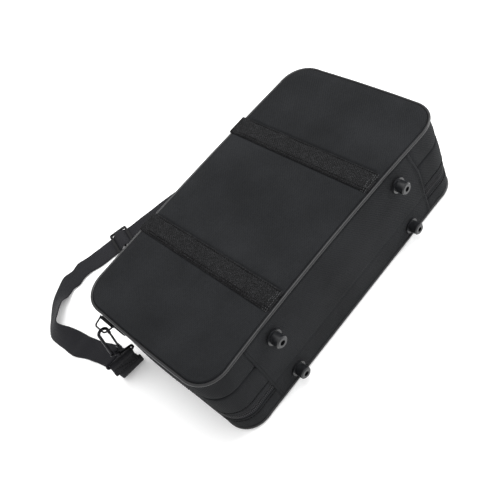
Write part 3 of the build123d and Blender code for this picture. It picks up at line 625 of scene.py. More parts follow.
def smooth_route(points: Sequence[Sequence[float]], step: float) -> list[list[float]]:
    """Runs a smooth line through points that may carry further values.

    Args:
        points: rows whose first three values are a place, and the rest follow along.
        step: about how far apart the new rows are, in millimetres.

    Returns:
        The rows along the smooth line, the given points among them.
    """
    rows = [list(row) for row in points]
    knots = [0.0]
    for before, after in zip(rows, rows[1:]):
        knots.append(knots[-1] + math.dist(before[:3], after[:3]))
    slopes = []
    for place in range(len(rows)):
        low, high = max(place - 1, 0), min(place + 1, len(rows) - 1)
        span = knots[high] - knots[low]
        slopes.append([(b - a) / span for a, b in zip(rows[low], rows[high])])
    made = [rows[0]]
    for place in range(len(rows) - 1):
        span = knots[place + 1] - knots[place]
        count = max(1, round(span / step))
        for number in range(1, count + 1):
            t = number / count
            h00, h10 = 2 * t**3 - 3 * t**2 + 1, t**3 - 2 * t**2 + t
            h01, h11 = 3 * t**2 - 2 * t**3, t**3 - t**2
            made.append([
                h00 * a + h10 * span * ma + h01 * b + h11 * span * mb
                for a, ma, b, mb in zip(rows[place], slopes[place], rows[place + 1], slopes[place + 1])
            ])
    return made


def ribbon(name: str, places: Sequence[Vector], widths: Sequence[Vector], thickness: float | Sequence[float],
           finish: Finish, edge: float = 0.45, crown: float = 0.0) -> bpy.types.Object:
    """Webbing along a line: a flat section with rounded edges at each place.

    Args:
        name: the object's name.
        places: the middle line.
        widths: at each place, the half width as a vector towards one edge.
        thickness: the thickness, one for all or one for each place.
        finish: the piece's finish.
        edge: how far the section is rounded at its edges.
        crown: how much thicker the middle is on each side.

    Returns:
        The new object.
    """
    rings = []
    last = len(places) - 1
    for number, (middle, half) in enumerate(zip(places, widths)):
        deep = thickness if isinstance(thickness, (int, float)) else thickness[number]
        heading = places[min(number + 1, last)] - places[max(number - 1, 0)]
        side = half.normalized()
        lift = heading.cross(side).normalized() * deep / 2
        reach = half.length
        shares = [-1.0, -1 + edge / reach, -0.6, -0.2, 0.2, 0.6, 1 - edge / reach, 1.0]
        lifts = [lift * (WEBBING_EDGE if abs(s) == 1 else 1 + crown * (1 - s * s)) for s in shares]
        row = [(middle + side * reach * s, up) for s, up in zip(shares, lifts)]
        rings.append([place + up for place, up in row] + [place - up for place, up in reversed(row)])
    return swept(name, rings, finish)


class RunParts(Enum):
    """Which rounded small piece repeats along a run."""

    STITCH = "stitch"
    TOOTH = "tooth"
    RIB = "rib"


def bead_tree(kind: RunParts) -> bpy.types.NodeTree:
    """Builds the node group that sets small rounded pieces along curves at one pitch.

    Args:
        kind: the repeated piece, which names the group.

    Returns:
        The node group, with its pitch, sizes, unevenness and finish as named inputs.
    """
    name = f"{kind.value}_run"
    found = bpy.data.node_groups.get(name)
    if found:
        return found
    tree = bpy.data.node_groups.new(name, "GeometryNodeTree")
    face = tree.interface
    face.new_socket("Curves", in_out="INPUT", socket_type="NodeSocketGeometry")
    defaults = {"Pitch": 3.0, "Length": 2.2, "Width": 0.7, "Height": 0.5, "Unevenness": 0.0}
    for label, value in defaults.items():
        socket = face.new_socket(label, in_out="INPUT", socket_type="NodeSocketFloat")
        socket.default_value = value * MILLIMETRE
    face.new_socket("Finish", in_out="INPUT", socket_type="NodeSocketMaterial")
    face.new_socket("Mesh", in_out="OUTPUT", socket_type="NodeSocketGeometry")
    given = add_node(tree, "NodeGroupInput").outputs
    points = add_node(tree, "GeometryNodeCurveToPoints", {"mode": "LENGTH"}, {
        "Curve": given["Curves"], "Length": given["Pitch"]})
    turned = add_node(tree, "FunctionNodeAlignRotationToVector", {"axis": "X"}, {
        "Vector": points.outputs["Tangent"]}).outputs[0]
    bead = add_node(tree, "GeometryNodeMeshUVSphere", inputs={
        "Segments": BEAD_SEGMENTS, "Rings": BEAD_RINGS, "Radius": 0.5}).outputs[0]
    size = add_node(tree, "ShaderNodeCombineXYZ", inputs={
        0: given["Length"], 1: given["Width"], 2: given["Height"]}).outputs[0]
    loose = add_node(tree, "FunctionNodeRandomValue", {"data_type": "FLOAT_VECTOR"}, {
        "Seed": STRAY_SEED})
    loose.inputs[0].default_value = (-1.0, -1.0, -1.0)
    loose.inputs[1].default_value = (1.0, 1.0, 1.0)
    stray = add_node(tree, "ShaderNodeVectorMath", {"operation": "SCALE"}, {
        0: loose.outputs[0], "Scale": given["Unevenness"]}).outputs[0]
    moved = add_node(tree, "GeometryNodeSetPosition", inputs={
        "Geometry": points.outputs["Points"], "Offset": stray}).outputs[0]
    placed = add_node(tree, "GeometryNodeInstanceOnPoints", inputs={
        "Points": moved, "Instance": bead, "Rotation": turned, "Scale": size}).outputs[0]
    real = add_node(tree, "GeometryNodeRealizeInstances", inputs={0: placed}).outputs[0]
    shaded = add_node(tree, "GeometryNodeSetShadeSmooth", inputs={0: real, "Shade Smooth": True}).outputs[0]
    dressed = add_node(tree, "GeometryNodeSetMaterial", inputs={
        "Geometry": shaded, "Material": given["Finish"]}).outputs[0]
    add_node(tree, "NodeGroupOutput", inputs={0: dressed})
    return tree


def beads(name: str, kind: RunParts, runs: Iterable[Sequence[Vector]], pitch: float,
          size: Point, finish: Finish, unevenness: float = 0.0) -> bpy.types.Object:
    """Sets small rounded pieces along runs of points, as one plain mesh.

    Args:
        name: the object's name.
        kind: what the pieces are.
        runs: lists of points in millimetres.
        pitch: how far apart the pieces are.
        size: their length along the run, width and height.
        finish: their finish.
        unevenness: how far each may stray from its place.

    Returns:
        The new object.
    """
    curve = bpy.data.curves.new(f"{name}_line", "CURVE")
    curve.dimensions = "3D"
    for run in runs:
        spline = curve.splines.new("POLY")
        spline.points.add(len(run) - 1)
        for place, point in enumerate(run):
            spline.points[place].co = (*(point * MILLIMETRE), 1.0)
    line = linked(f"{name}_line", curve)
    tree = bead_tree(kind)
    modifier = line.modifiers.new("run", "NODES")
    modifier.node_group = tree
    labels = ("Pitch", "Length", "Width", "Height", "Unevenness")
    values = dict(zip(labels, (pitch, *size, unevenness)))
    for item in tree.interface.items_tree:
        if item.in_out == "INPUT" and item.name in values:
            modifier[item.identifier] = values[item.name] * MILLIMETRE
        elif item.in_out == "INPUT" and item.name == "Finish":
            modifier[item.identifier] = finish.material()
    shown = line.evaluated_get(bpy.context.evaluated_depsgraph_get())
    mesh = bpy.data.meshes.new_from_object(shown)
    mesh.name = name
    line.modifiers.remove(modifier)
    bpy.data.objects.remove(line)
    bpy.data.curves.remove(curve)
    return coated(linked(name, mesh), finish)


# The case's form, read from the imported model

@dataclass(frozen=True)
class Station:
    """One place on the case's outline: its point, its outward direction and the run so far."""

    x: float
    y: float
    out_x: float
    out_y: float
    run: float

    def at(self, inset: float, height: float) -> Vector:
        """The point a given depth in from the outline, at a height."""
        return Vector((self.x - self.out_x * inset, self.y - self.out_y * inset, height))


@dataclass(frozen=True)
class CaseForm:
    """The outline and heights that every cloth piece of the two shells follows."""

    half_length: float
    half_width: float
    height: float
    zip_height: float
    panel_half: float
    band_place: float
    tab_place: float
    corner: float = 36.0
    band_half: float = 12.5
    coil_gap: float = 0.5
    spine_bow: float = 4.5
    front_bow: float = 3.4
    front_lean: float = 4.6
    end_belly: float = 2.2
    front_fill: float = 2.9
    spine_fill: float = 3.4
    spine_draw: float = 2.0
    seam_draw: float = 7.0
    far_fill: float = 3.4
    side_reach: float = 60.0
    lean_start: float = 50.0
    bow_start: float = 60.0
    draw_start: float = 66.0
    draw_spread: float = 22.0
    belly_reach: float = 40.0
    least_belly: float = 0.9
    tab_spread: float = 24.0
    tab_hold: float = 0.9
    tab_top: Flat = (104.0, 94.0)
    tab_foot: Flat = (38.0, 50.0)
    far_start: float = 20.0
    held_depth: Flat = (2.4, 3.2)
    held_height: Flat = (7.0, 11.0)
    fill_power: float = 1.3

    @classmethod
    def from_frame(cls) -> CaseForm:
        """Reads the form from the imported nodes.

        Returns:
            The form.
        """
        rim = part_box("deep_piping")[1] / MILLIMETRE
        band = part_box("deep_bands")[1] / MILLIMETRE
        return cls(
            half_length=rim.x,
            half_width=rim.y,
            height=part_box("deep_face_cloth")[1].z / MILLIMETRE,
            zip_height=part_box("deep_zip_coil")[0].z / MILLIMETRE - cls.coil_gap,
            panel_half=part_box("deep_spine_panel")[1].x / MILLIMETRE,
            band_place=band.x - cls.band_half,
            tab_place=sum(corner.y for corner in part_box("far_ring_tab")) / 2 / MILLIMETRE,
        )

    def softened(self, point: Vector) -> Vector:
        """Moves a point of the straight case to where soft cloth over foam lies.

        The deep shell leans towards the front: its spine edge draws in at mid-length and its
        front edge stands out. The end walls belly out between the faces, the far one most,
        and the corners fill out: at the front all the way up, at the spine towards the floor.

        Args:
            point: a point of the straight form, in millimetres.

        Returns:
            The moved point.
        """
        high = min(max(point.z / self.height, 0.0), 1.0)
        share = max(0.0, 1 - (point.x / (self.half_length - 10)) ** 2)
        rise = ease(self.bow_start, self.height, point.z)
        back = ease(self.side_reach, 0.0, point.y + self.half_width)
        front = ease(self.side_reach, 0.0, self.half_width - point.y)
        lean = self.front_lean + share * self.front_bow
        forward = ease(self.lean_start, self.height - 6, point.z) * front * lean
        moved = point + Vector((0, share * rise * back * self.spine_bow + forward, 0))
        moved.x -= (self.seam_draw * back * ease(self.draw_start, self.height, point.z)
                    * math.exp(-((point.x - self.panel_half) / self.draw_spread) ** 2))
        off_faces = ease(*self.held_height, self.height * min(high, 1 - high))
        held = ease(*self.held_depth, self.depth_inside(point.x, point.y)) * off_faces
        straight = self.half_width - self.corner
        ends = ease(self.half_length - self.belly_reach, self.half_length - 4, abs(point.x))
        belly = self.least_belly + self.end_belly * math.sin(math.pi * high) ** 2
        belly *= ends * max(0.0, 1 - (point.y / straight) ** 2)
        tabs = math.exp(-((point.y - self.tab_place) / self.tab_spread) ** 2) * ease(*self.tab_top, point.z)
        far = self.far_fill * (1 - self.tab_hold * tabs * ease(*self.tab_foot, point.z)) * (point.x > 0)
        moved.x += far * ease(self.far_start, self.half_length, point.x) * (1 - held)
        moved.x += math.copysign(belly * (1 - held), point.x)
        over_x, over_y = abs(point.x) - (self.half_length - self.corner), abs(point.y) - straight
        if over_x > 0 and over_y > 0:
            turn = math.atan2(over_y, over_x)
            drawn = high ** 5
            fill = self.front_fill if point.y > 0 else self.spine_fill * (1 - drawn) - self.spine_draw * drawn
            middle = math.sin(2 * turn) ** self.fill_power
            fill *= (1 - held) * math.hypot(over_x, over_y) / self.corner * middle
            moved.x += math.copysign(fill * math.cos(turn), point.x)
            moved.y += math.copysign(fill * math.sin(turn), point.y)
        return moved

    def open_run(self, straight_step: float = 6.0, corner_steps: int = 22) -> list[Station]:
        """The outline from one end of the spine panel round the front to the other.

        Args:
            straight_step: spacing of the places on straight stretches.
            corner_steps: number of steps round each corner.

        Returns:
            The places in order.
        """
        centre_x, centre_y = self.half_length - self.corner, self.half_width - self.corner
        bends = [(-centre_x, -centre_y, 270), (-centre_x, centre_y, 180), (centre_x, centre_y, 90),
                 (centre_x, -centre_y, 0)]
        marks: list[tuple[float, float, float, float]] = [(-self.panel_half, -self.half_width, 0.0, -1.0)]
        for x, y, angle in bends:
            for step in range(corner_steps + 1):
                turn = math.radians(angle - 90 * step / corner_steps)
                out_x, out_y = math.cos(turn), math.sin(turn)
                marks.append((x + out_x * self.corner, y + out_y * self.corner, out_x, out_y))
        marks.append((self.panel_half, -self.half_width, 0.0, -1.0))
        return self.spaced(marks, straight_step)

    def closed_run(self, straight_step: float = 6.0, corner_steps: int = 22) -> list[Station]:
        """The whole outline, from the middle of the spine and back to it, the last place left out.

        Args:
            straight_step: spacing of the places on straight stretches.
            corner_steps: number of steps round each corner.

        Returns:
            The places in order.
        """
        around = self.open_run(straight_step, corner_steps)
        marks = [(0.0, -self.half_width, 0.0, -1.0)]
        marks += [(s.x, s.y, s.out_x, s.out_y) for s in around]
        marks.append((0.0, -self.half_width, 0.0, -1.0))
        return self.spaced(marks, straight_step)[:-1]

    @staticmethod
    def spaced(marks: Sequence[tuple[float, float, float, float]], step: float) -> list[Station]:
        """Fills long stretches between marks and counts the run.

        Args:
            marks: points with their outward directions.
            step: spacing of the places on long stretches.

        Returns:
            The places in order.
        """
        made = [Station(*marks[0], 0.0)]
        for before, after in zip(marks, marks[1:]):
            span = math.dist(before[:2], after[:2])
            count = max(1, math.ceil(span / step - 0.01)) if span > 1.6 * step else 1
            for number in range(1, count + 1):
                share = number / count
                x, y, out_x, out_y = (a + (b - a) * share for a, b in zip(before, after))
                made.append(Station(x, y, out_x, out_y, made[-1].run + span / count))
        return made

    def half_length_at(self, y: float, inset: float) -> float:
        """Half the outline's length at a distance from the middle line, at an inset.

        Args:
            y: the distance from the middle line.
            inset: how far in from the outline.

        Returns:
            The half length.
        """
        radius = self.corner - inset
        beyond = abs(y) - (self.half_width - self.corner)
        cut = radius - math.sqrt(max(radius * radius - max(beyond, 0.0) ** 2, 0.0))
        return self.half_length - inset - cut

    def depth_inside(self, x: float, y: float) -> float:
        """How far a point lies inside the outline.

        Args:
            x: its place along the case.
            y: its place across it.

        Returns:
            The distance to the outline.
        """
        over_x = abs(x) - (self.half_length - self.corner)
        over_y = abs(y) - (self.half_width - self.corner)
        if over_x > 0 and over_y > 0:
            return self.corner - math.hypot(over_x, over_y)
        return min(self.half_length - abs(x), self.half_width - abs(y))


class Side(Enum):
    """The two shells: each has the first word of its nodes' names and the body it rides on."""

    DEEP = ("deep", "lid")
    SHALLOW = ("shallow", "base")

    @property
    def prefix(self) -> str:
        """The first word of the shell's node names."""
        return self.value[0]

    @property
    def body(self) -> str:
        """The body that the shell rides on."""
        return self.value[1]


class Assembly(Protocol):
    """A sub-assembly of the case, which builds and dresses its own pieces."""

    def build(self) -> list[bpy.types.Object]:
        """Builds the pieces and returns them."""


@dataclass
class ShellCloth:
    """Face, piping, wall, bands, stitches and tucked band ends of one shell."""

    form: CaseForm
    side: Side
    seam_height: float = 79.0
    deep_hem: float = 42.0
    shallow_hem: float = 27.2
    piping_radius: float = 1.6
    piping_drop: float = 1.7
    piping_waver: float = 0.12
    face_inset: float = 3.4
    wall_top: float = 4.3
    face_back: float = 3.2
    edge_curl: float = 1.6
    broad_curl: float = 0.9
    looseness: float = 0.45
    wall_looseness: float = 0.4
    wall_drift: float = 0.28
    band_sink: float = 1.5
    band_thickness: float = 1.4
    middle_rows: int = 56
    corner_rows: int = 22
    fine_step: float = 0.9
    wide_step: float = 3.4
    cord_sides: int = 16
    thread: Point = (2.9, 1.5, 0.7)
    seam_insets: Point = (1.7, 4.3, 1.8)
    rib: Point = (1.9, 0.6, 0.6)
    rib_pitch: float = 2.3
    rib_rows: int = 3
    rib_spacing: float = 2.3

    def outer(self, depth: float) -> float:
        """The height that lies a depth inside the shell's outer face."""
        return self.form.height - depth if self.side is Side.DEEP else depth

    def settle(self, point: Vector) -> Vector:
        """The point of the soft case."""
        return self.form.softened(point)

    def face_depth(self, x: float, y: float) -> float:
        """How far the face's cloth lies below its highest plane.

        Args:
            x: the place along the case.
            y: the place across it.

        Returns:
            The depth.
        """
        inside = self.form.depth_inside(x, y)
        curl = self.edge_curl * (1 - ease(self.face_inset, self.face_inset + 1.6, inside))
        curl += self.broad_curl * (1 - ease(self.face_inset, self.face_inset + 12.0, inside))
        off_band = abs(abs(x) - self.form.band_place) - self.form.band_half
        dip = self.band_sink * (1 - ease(0.0, 2.6, off_band)) if inside > self.face_inset + 1 else 0.0
        loose = self.looseness * (0.5 + 0.5 * ripple(x, y, 0.0, 55.0)) * ease(8.0, 40.0, inside)
        return max(curl, dip) + loose * (0.0 if dip > 0.9 else 1.0)

    def face(self) -> bpy.types.Object:
        """The padded face panel: cloth that curls down to the piping and dips under the bands.

        Returns:
            The panel.
        """
        form = self.form
        half = form.half_width - self.face_inset
        rows = self.rows(half)
        columns = self.columns()
        vertices: list[Vector] = []
        uvs: list[Flat] = []
        for y in rows:
            reach = form.half_length_at(y, self.face_inset)
            for share in columns:
                x = share * reach
                vertices.append(self.settle(Vector((x, y, self.outer(self.face_depth(x, y))))))
                uvs.append((x, y))
        faces = backed(vertices, uvs, len(columns), self.outer(self.face_back))
        piece = finished(f"{self.side.prefix}_face_panel", vertices, faces, uvs, OXFORD)
        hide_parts(f"{self.side.prefix}_face_cloth")
        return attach(piece, self.side.body)

    def rows(self, half: float) -> list[float]:
        """Rows across the case, closer together in the corners.

        Args:
            half: half the face's width.

        Returns:
            The places of the rows.
        """
        flat = self.form.half_width - self.form.corner
        count, turns = self.middle_rows, self.corner_rows
        middle = [-flat + 2 * flat * k / count for k in range(count + 1)]
        radius = half - flat
        corner = [flat + radius * math.sin(math.pi / 2 * k / turns) for k in range(1, turns + 1)]
        return [-y for y in reversed(corner)] + middle + corner

    def columns(self) -> list[float]:
        """Shares along the case, closer together at the ends and beside the bands.

        Returns:
            The shares, from -1 to 1.
        """
        reach = self.form.half_length - self.face_inset
        marks = [0.0]
        while marks[-1] < 1.0:
            x = marks[-1] * reach
            near_band = abs(abs(x - self.form.band_place) - self.form.band_half) < 6
            near_end = reach - x < 16
            step = self.fine_step if near_band or near_end else self.wide_step
            marks.append(min(1.0, marks[-1] + step / reach))
        return [-share for share in reversed(marks[1:])] + marks

    def piping(self) -> bpy.types.Object:
        """The vinyl cord round the face.

        Returns:
            The cord.
        """
        radius = self.piping_radius
        height = self.outer(self.piping_drop + radius)
        rings = []
        for station in self.form.closed_run():
            lift = self.piping_waver * ripple(station.x, station.y, 2.0, 30.0)
            middle = station.at(radius + 0.1, height + (lift if self.side is Side.DEEP else 0.0))
            sideways = Vector((station.out_x, station.out_y, 0))
            rings.append([
                self.settle(middle + (sideways * math.cos(turn) + Vector((0, 0, math.sin(turn)))) * radius)
                for turn in (2 * math.pi * k / self.cord_sides for k in range(self.cord_sides))
            ])
        piece = swept(f"{self.side.prefix}_piping_cord", rings, PIPING_VINYL, closed=True)
        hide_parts(f"{self.side.prefix}_piping")
        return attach(piece, self.side.body)

    def wall_profile(self) -> list[Flat]:
        """The wall's section as inset and height, from the piping to the hem at the zip.

        Returns:
            The section's points.
        """
        if self.side is Side.DEEP:
            top, seam, hem = self.outer(self.wall_top), self.seam_height, self.deep_hem
            return [
                (3.2, top + 0.8), (2.2, top + 0.2), (1.5, top - 1.0), (1.05, top - 4), (0.8, top - 12),
                (0.75, top - 18), (0.95, seam + 6), (1.3, seam + 2.8), (1.9, seam + 1.0), (2.75, seam + 0.15),
                (2.75, seam - 0.15), (1.6, seam - 0.9), (1.05, seam - 3), (0.8, seam - 9), (0.7, seam - 16),
                (0.75, hem + 14), (0.85, hem + 8), (0.95, hem + 5.2), (1.35, hem + 4.2), (1.35, hem + 3.8),
                (0.95, hem + 2.8), (0.8, hem + 1.4), (0.95, hem + 0.35), (1.5, hem), (2.3, hem + 0.5),
                (3.2, hem + 0.9),
            ]
        low, hem = self.outer(self.wall_top), self.shallow_hem
        return [
            (3.2, hem + 0.2), (2.1, hem + 0.25), (1.5, hem), (1.15, hem - 0.6), (1.2, hem - 2.4),
            (1.5, hem - 3.3), (1.5, hem - 3.7), (1.1, hem - 4.6), (0.85, hem - 8), (0.8, low + 9),
            (0.9, low + 5.5), (1.2, low + 3), (1.7, low + 1.0), (2.3, low), (3.2, low - 0.6),
        ]

    def wall(self) -> bpy.types.Object:
        """The wall's cloth band with its seam, its folded hem and soft unevenness.

        Returns:
            The band.
        """
        profile = self.wall_profile()
        rings = []
        for station in self.form.open_run():
            ring = []
            for inset, height in profile:
                free = ease(3.0, 0.9, inset)
                soft = self.wall_looseness * free * ripple(station.run, height, 0.0, 42.0)
                drift = self.wall_drift * ripple(station.run, 4.0, height / 90, 30.0) if free > 0.1 else 0.0
                ring.append(self.settle(station.at(inset - soft, height + drift)))
            rings.append(ring)
        piece = swept(f"{self.side.prefix}_wall_band", rings, OXFORD)
        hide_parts(f"{self.side.prefix}_wall_cloth")
        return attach(piece, self.side.body)

    def bands(self) -> bpy.types.Object:
        """The two webbing bands across the face, tucked under the piping at the spine.

        Returns:
            Both bands as one piece.
        """
        form = self.form
        pieces = []
        line = [(-form.half_width + 4.3, 2.6), (-form.half_width + 5.4, 1.5), (-form.half_width + 8, 0.75)]
        line += [(y, 0.72 + 0.12 * math.sin(y / 9)) for y in range(-88, 92, 4)]
        line += [(94.0, 0.8), (97.0, 0.75), (99.5, 0.7), (101.5, 0.75), (102.6, 1.0), (103.0, 1.5)]
        if self.side is Side.DEEP:
            line += [(103.1, 2.6), (103.0, 4.2), (102.7, 6.2), (102.4, 8.2)]
        for place in (-form.band_place, form.band_place):
            middles = [self.settle(Vector((place, y, self.outer(depth)))) for y, depth in line]
            widths = [Vector((form.band_half - 0.15 + 0.12 * math.sin(m.y / 7), 0, 0)) for m in middles]
            pieces.append(ribbon("band", middles, widths, self.band_thickness, WEBBING, crown=0.1))
        piece = joined(f"{self.side.prefix}_webbing_bands", pieces)
        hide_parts(f"{self.side.prefix}_bands")
        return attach(piece, self.side.body)

    def stitches(self) -> bpy.types.Object:
        """Rows of thread along the bands' edges and above the hem of the wall.

        Returns:
            The thread.
        """
        form = self.form
        left, inner, right = self.seam_insets
        runs = []
        for place in (-form.band_place, form.band_place):
            for off in (-form.band_half + left, -form.band_half + inner, form.band_half - right):
                runs.append([
                    self.settle(Vector((place + off, y, self.outer(0.02 if self.side is Side.DEEP else 0.3))))
                    for y in range(-94, 92, 3)
                ])
        height = self.deep_hem + 4.0 if self.side is Side.DEEP else self.shallow_hem - 3.5
        inset = 1.25 if self.side is Side.DEEP else 1.4
        runs.append([self.settle(s.at(inset, height)) for s in form.open_run(4.0)])
        piece = beads(f"{self.side.prefix}_stitches", RunParts.STITCH, runs, STITCH_PITCH, self.thread,
                      THREAD, 0.12)
        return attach(piece, self.side.body)

    def tucked_ends(self) -> bpy.types.Object:
        """The close ribs where each band's end bunches under the spine's piping, painted pale as highlight.

        Returns:
            The ribs.
        """
        form = self.form
        runs = []
        for place in (-form.band_place, form.band_place):
            for row in range(self.rib_rows):
                y = -form.half_width + 6.4 + self.rib_spacing * row
                runs.append([
                    self.settle(Vector((place + x, y + 0.4 * math.sin(x * 0.7 + row), self.outer(0.2))))
                    for x in range(-12, 11 - row)
                ])
        # The ribs' pale colour is painted highlight, for the light that the bunched yarns catch.
        piece = beads(f"{self.side.prefix}_tucked_ends", RunParts.RIB, runs, self.rib_pitch, self.rib,
                      PAINTED_HIGHLIGHT_YARN, 0.3)
        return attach(piece, self.side.body)

    def build(self) -> list[bpy.types.Object]:
        """Builds every cloth piece of the shell and returns them."""
        steps = (self.face, self.piping, self.wall, self.bands, self.stitches, self.tucked_ends)
        return [step() for step in steps]


@dataclass
class SpinePanel:
    """The cloth panel over the spine, in one piece from shell to shell, with hemmed sides."""

    form: CaseForm
    hem_width: float = 4.0
    fold_reach: float = 5.0
    tuck: float = 4.4
    back_depth: float = 3.0
    cloth_depth: float = 0.75
    hem_rise: float = 0.45
    fold_depth: float = 0.5
    looseness: float = 0.35
    rows: int = 80
    columns: int = 150
    hem_marks: tuple[float, ...] = (0.3, 0.8, 1.6, 3.2, 4.4, 5.2)
    thread: Point = (2.3, 0.7, 0.5)

    def build(self) -> list[bpy.types.Object]:
        """Builds the panel and its stitches.

        Returns:
            The two pieces.
        """
        pieces = [self.panel(), self.side_stitches()]
        for piece in pieces:
            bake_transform(piece)
        return pieces

    def skin(self, x: float, z: float) -> float:
        """How far the panel's outer face lies in from the outline.

        Args:
            x: the place along the case.
            z: the height.

        Returns:
            The depth.
        """
        edge = self.form.panel_half - abs(x)
        beyond = 1 - ease(self.hem_width, self.hem_width + 1.2, edge)
        hem = self.cloth_depth - self.hem_rise * ease(0.0, 0.8, edge) * beyond
        low, high = self.reach()
        round_ends = 2.0 * (1 - ease(0.0, 3.5, high - z)) + 1.9 * (1 - ease(0.0, 2.2, z - low))
        soft = self.looseness * ripple(x, z, 5.0, 48.0)
        fold = self.fold_depth * math.exp(-((z - self.form.zip_height) / 2.2) ** 2)
        return hem + round_ends + max(soft, -0.2) + fold

    def reach(self) -> Flat:
        """The heights of the panel's two ends, tucked under the piping."""
        return self.tuck, self.form.height - self.tuck

    def panel(self) -> bpy.types.Object:
        """The panel's closed mesh.

        Returns:
            The panel.
        """
        half = self.form.panel_half
        low, high = self.reach()
        rows, columns = self.rows, self.columns
        heights = [low + (high - low) * k / rows for k in range(rows + 1)]
        marks = [-half + 2 * half * k / columns for k in range(columns + 1)]
        marks = sorted(set(marks + [s * (half - e) for s in (-1, 1) for e in self.hem_marks]))
        rings = []
        wall = self.form.half_width
        high_end, middle, low_end = heights[-1], heights[rows // 2], heights[0]
        for x in marks:
            outer = [Vector((x, self.skin(x, z) - wall, z)) for z in heights]
            inner = [Vector((x, self.back_depth - wall, z)) for z in (high_end, middle, low_end)]
            rings.append([self.form.softened(p) for p in outer + inner])
        piece = swept("spine_panel_cloth", rings, OXFORD)
        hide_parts("deep_spine_panel", "shallow_spine_panel")
        return piece

    def side_stitches(self) -> bpy.types.Object:
        """A row of thread down each hem.

        Returns:
            The thread.
        """
        runs = []
        for side in (-1, 1):
            x = side * (self.form.panel_half - self.hem_width + 0.9)
            runs.append([
                self.form.softened(Vector((x, self.skin(x, z) - self.form.half_width, z)))
                for z in range(7, 108, 3)
            ])
        return beads("spine_panel_stitches", RunParts.STITCH, runs, STITCH_PITCH, self.thread, THREAD, 0.1)


@dataclass
class ZipClosure:
    """Tape, coil teeth and ribs of the zip, and the finish of its sliders and pulls."""

    form: CaseForm
    nodes: dict[str, bpy.types.Object]
    tooth_pitch: float = 1.9
    tooth: Point = (1.15, 1.5, 3.3)
    tooth_inset: float = 1.75
    tooth_rise: float = 1.85
    tape_gap: float = 0.6
    tape_low: float = 27.2
    tape_high: float = 42.6
    rib_inset: float = 2.05
    rib_section: Flat = (1.2, 0.9)
    rib_rise: float = 3.2
    rib_high: float = 42.8
    step: float = 4.0

    def tape(self, prefix: str, body: str, low: float, high: float) -> bpy.types.Object:
        """One half of the tape, ribbed across.

        Args:
            prefix: the shell's name.
            body: the body that it rides on.
            low: the tape's lower edge.
            high: the tape's upper edge.

        Returns:
            The tape.
        """
        rings = [
            [self.form.softened(s.at(inset, height)) for inset, height in (
                (3.25, low), (2.15, low), (2.0, (low + high) / 2), (2.15, high), (3.25, high))]
            for s in self.form.open_run()
        ]
        piece = swept(f"{prefix}_zip_tape_cloth", rings, ZIP_TAPE)
        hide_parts(f"{prefix}_zip_tape")
        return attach(piece, body)

    def teeth(self, prefix: str, body: str, height: float, shift: float) -> bpy.types.Object:
        """One row of the coil's teeth, each a bent loop of monofilament.

        Args:
            prefix: the shell's name.
            body: the body that they ride on.
            height: the row's middle height.
            shift: how far the row is moved along, so that the two rows interleave.

        Returns:
            The row of teeth.
        """
        places = self.form.open_run(self.step)
        line = [self.form.softened(s.at(self.tooth_inset, height)) for s in places]
        start = line[0] + (line[1] - line[0]).normalized() * shift
        run = [start, *line[1:]]
        piece = beads(f"{prefix}_zip_teeth", RunParts.TOOTH, [run], self.tooth_pitch, self.tooth, COIL_NYLON)
        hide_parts(f"{prefix}_zip_coil")
        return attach(piece, body)

    def ribs(self, prefix: str, body: str, low: float, high: float) -> bpy.types.Object:
        """Upright ribs of the tape beside the teeth.

        Args:
            prefix: the shell's name.
            body: the body that they ride on.
            low: the ribs' lower end.
            high: the ribs' upper end.

        Returns:
            The row of ribs.
        """
        middle = (low + high) / 2
        line = [self.form.softened(s.at(self.rib_inset, middle)) for s in self.form.open_run(self.step)]
        piece = beads(f"{prefix}_zip_tape_ribs", RunParts.RIB, [line], self.tooth_pitch,
                      (*self.rib_section, high - low), ZIP_TAPE)
        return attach(piece, body)

    def build(self) -> list[bpy.types.Object]:
        """Builds the zip.

        Returns:
            Its pieces.
        """
        middle = self.form.zip_height
        pieces = [
            self.tape("deep", "lid", middle + self.tape_gap, self.tape_high),
            self.tape("shallow", "base", self.tape_low, middle - self.tape_gap),
            self.teeth("deep", "lid", middle + self.tooth_rise, 0.0),
            self.teeth("shallow", "base", middle - self.tooth_rise, self.tooth_pitch / 2),
            self.ribs("deep", "lid", middle + self.rib_rise, self.rib_high),
            self.ribs("shallow", "base", self.tape_low, middle - self.rib_rise),
        ]
        for side in ("left", "right"):
            for part in ("zip_slider", "pull_ring", "pull_tab"):
                pieces.append(dress(self.nodes[f"{part}_{side}"], ENAMELLED_ZINC))
        return pieces


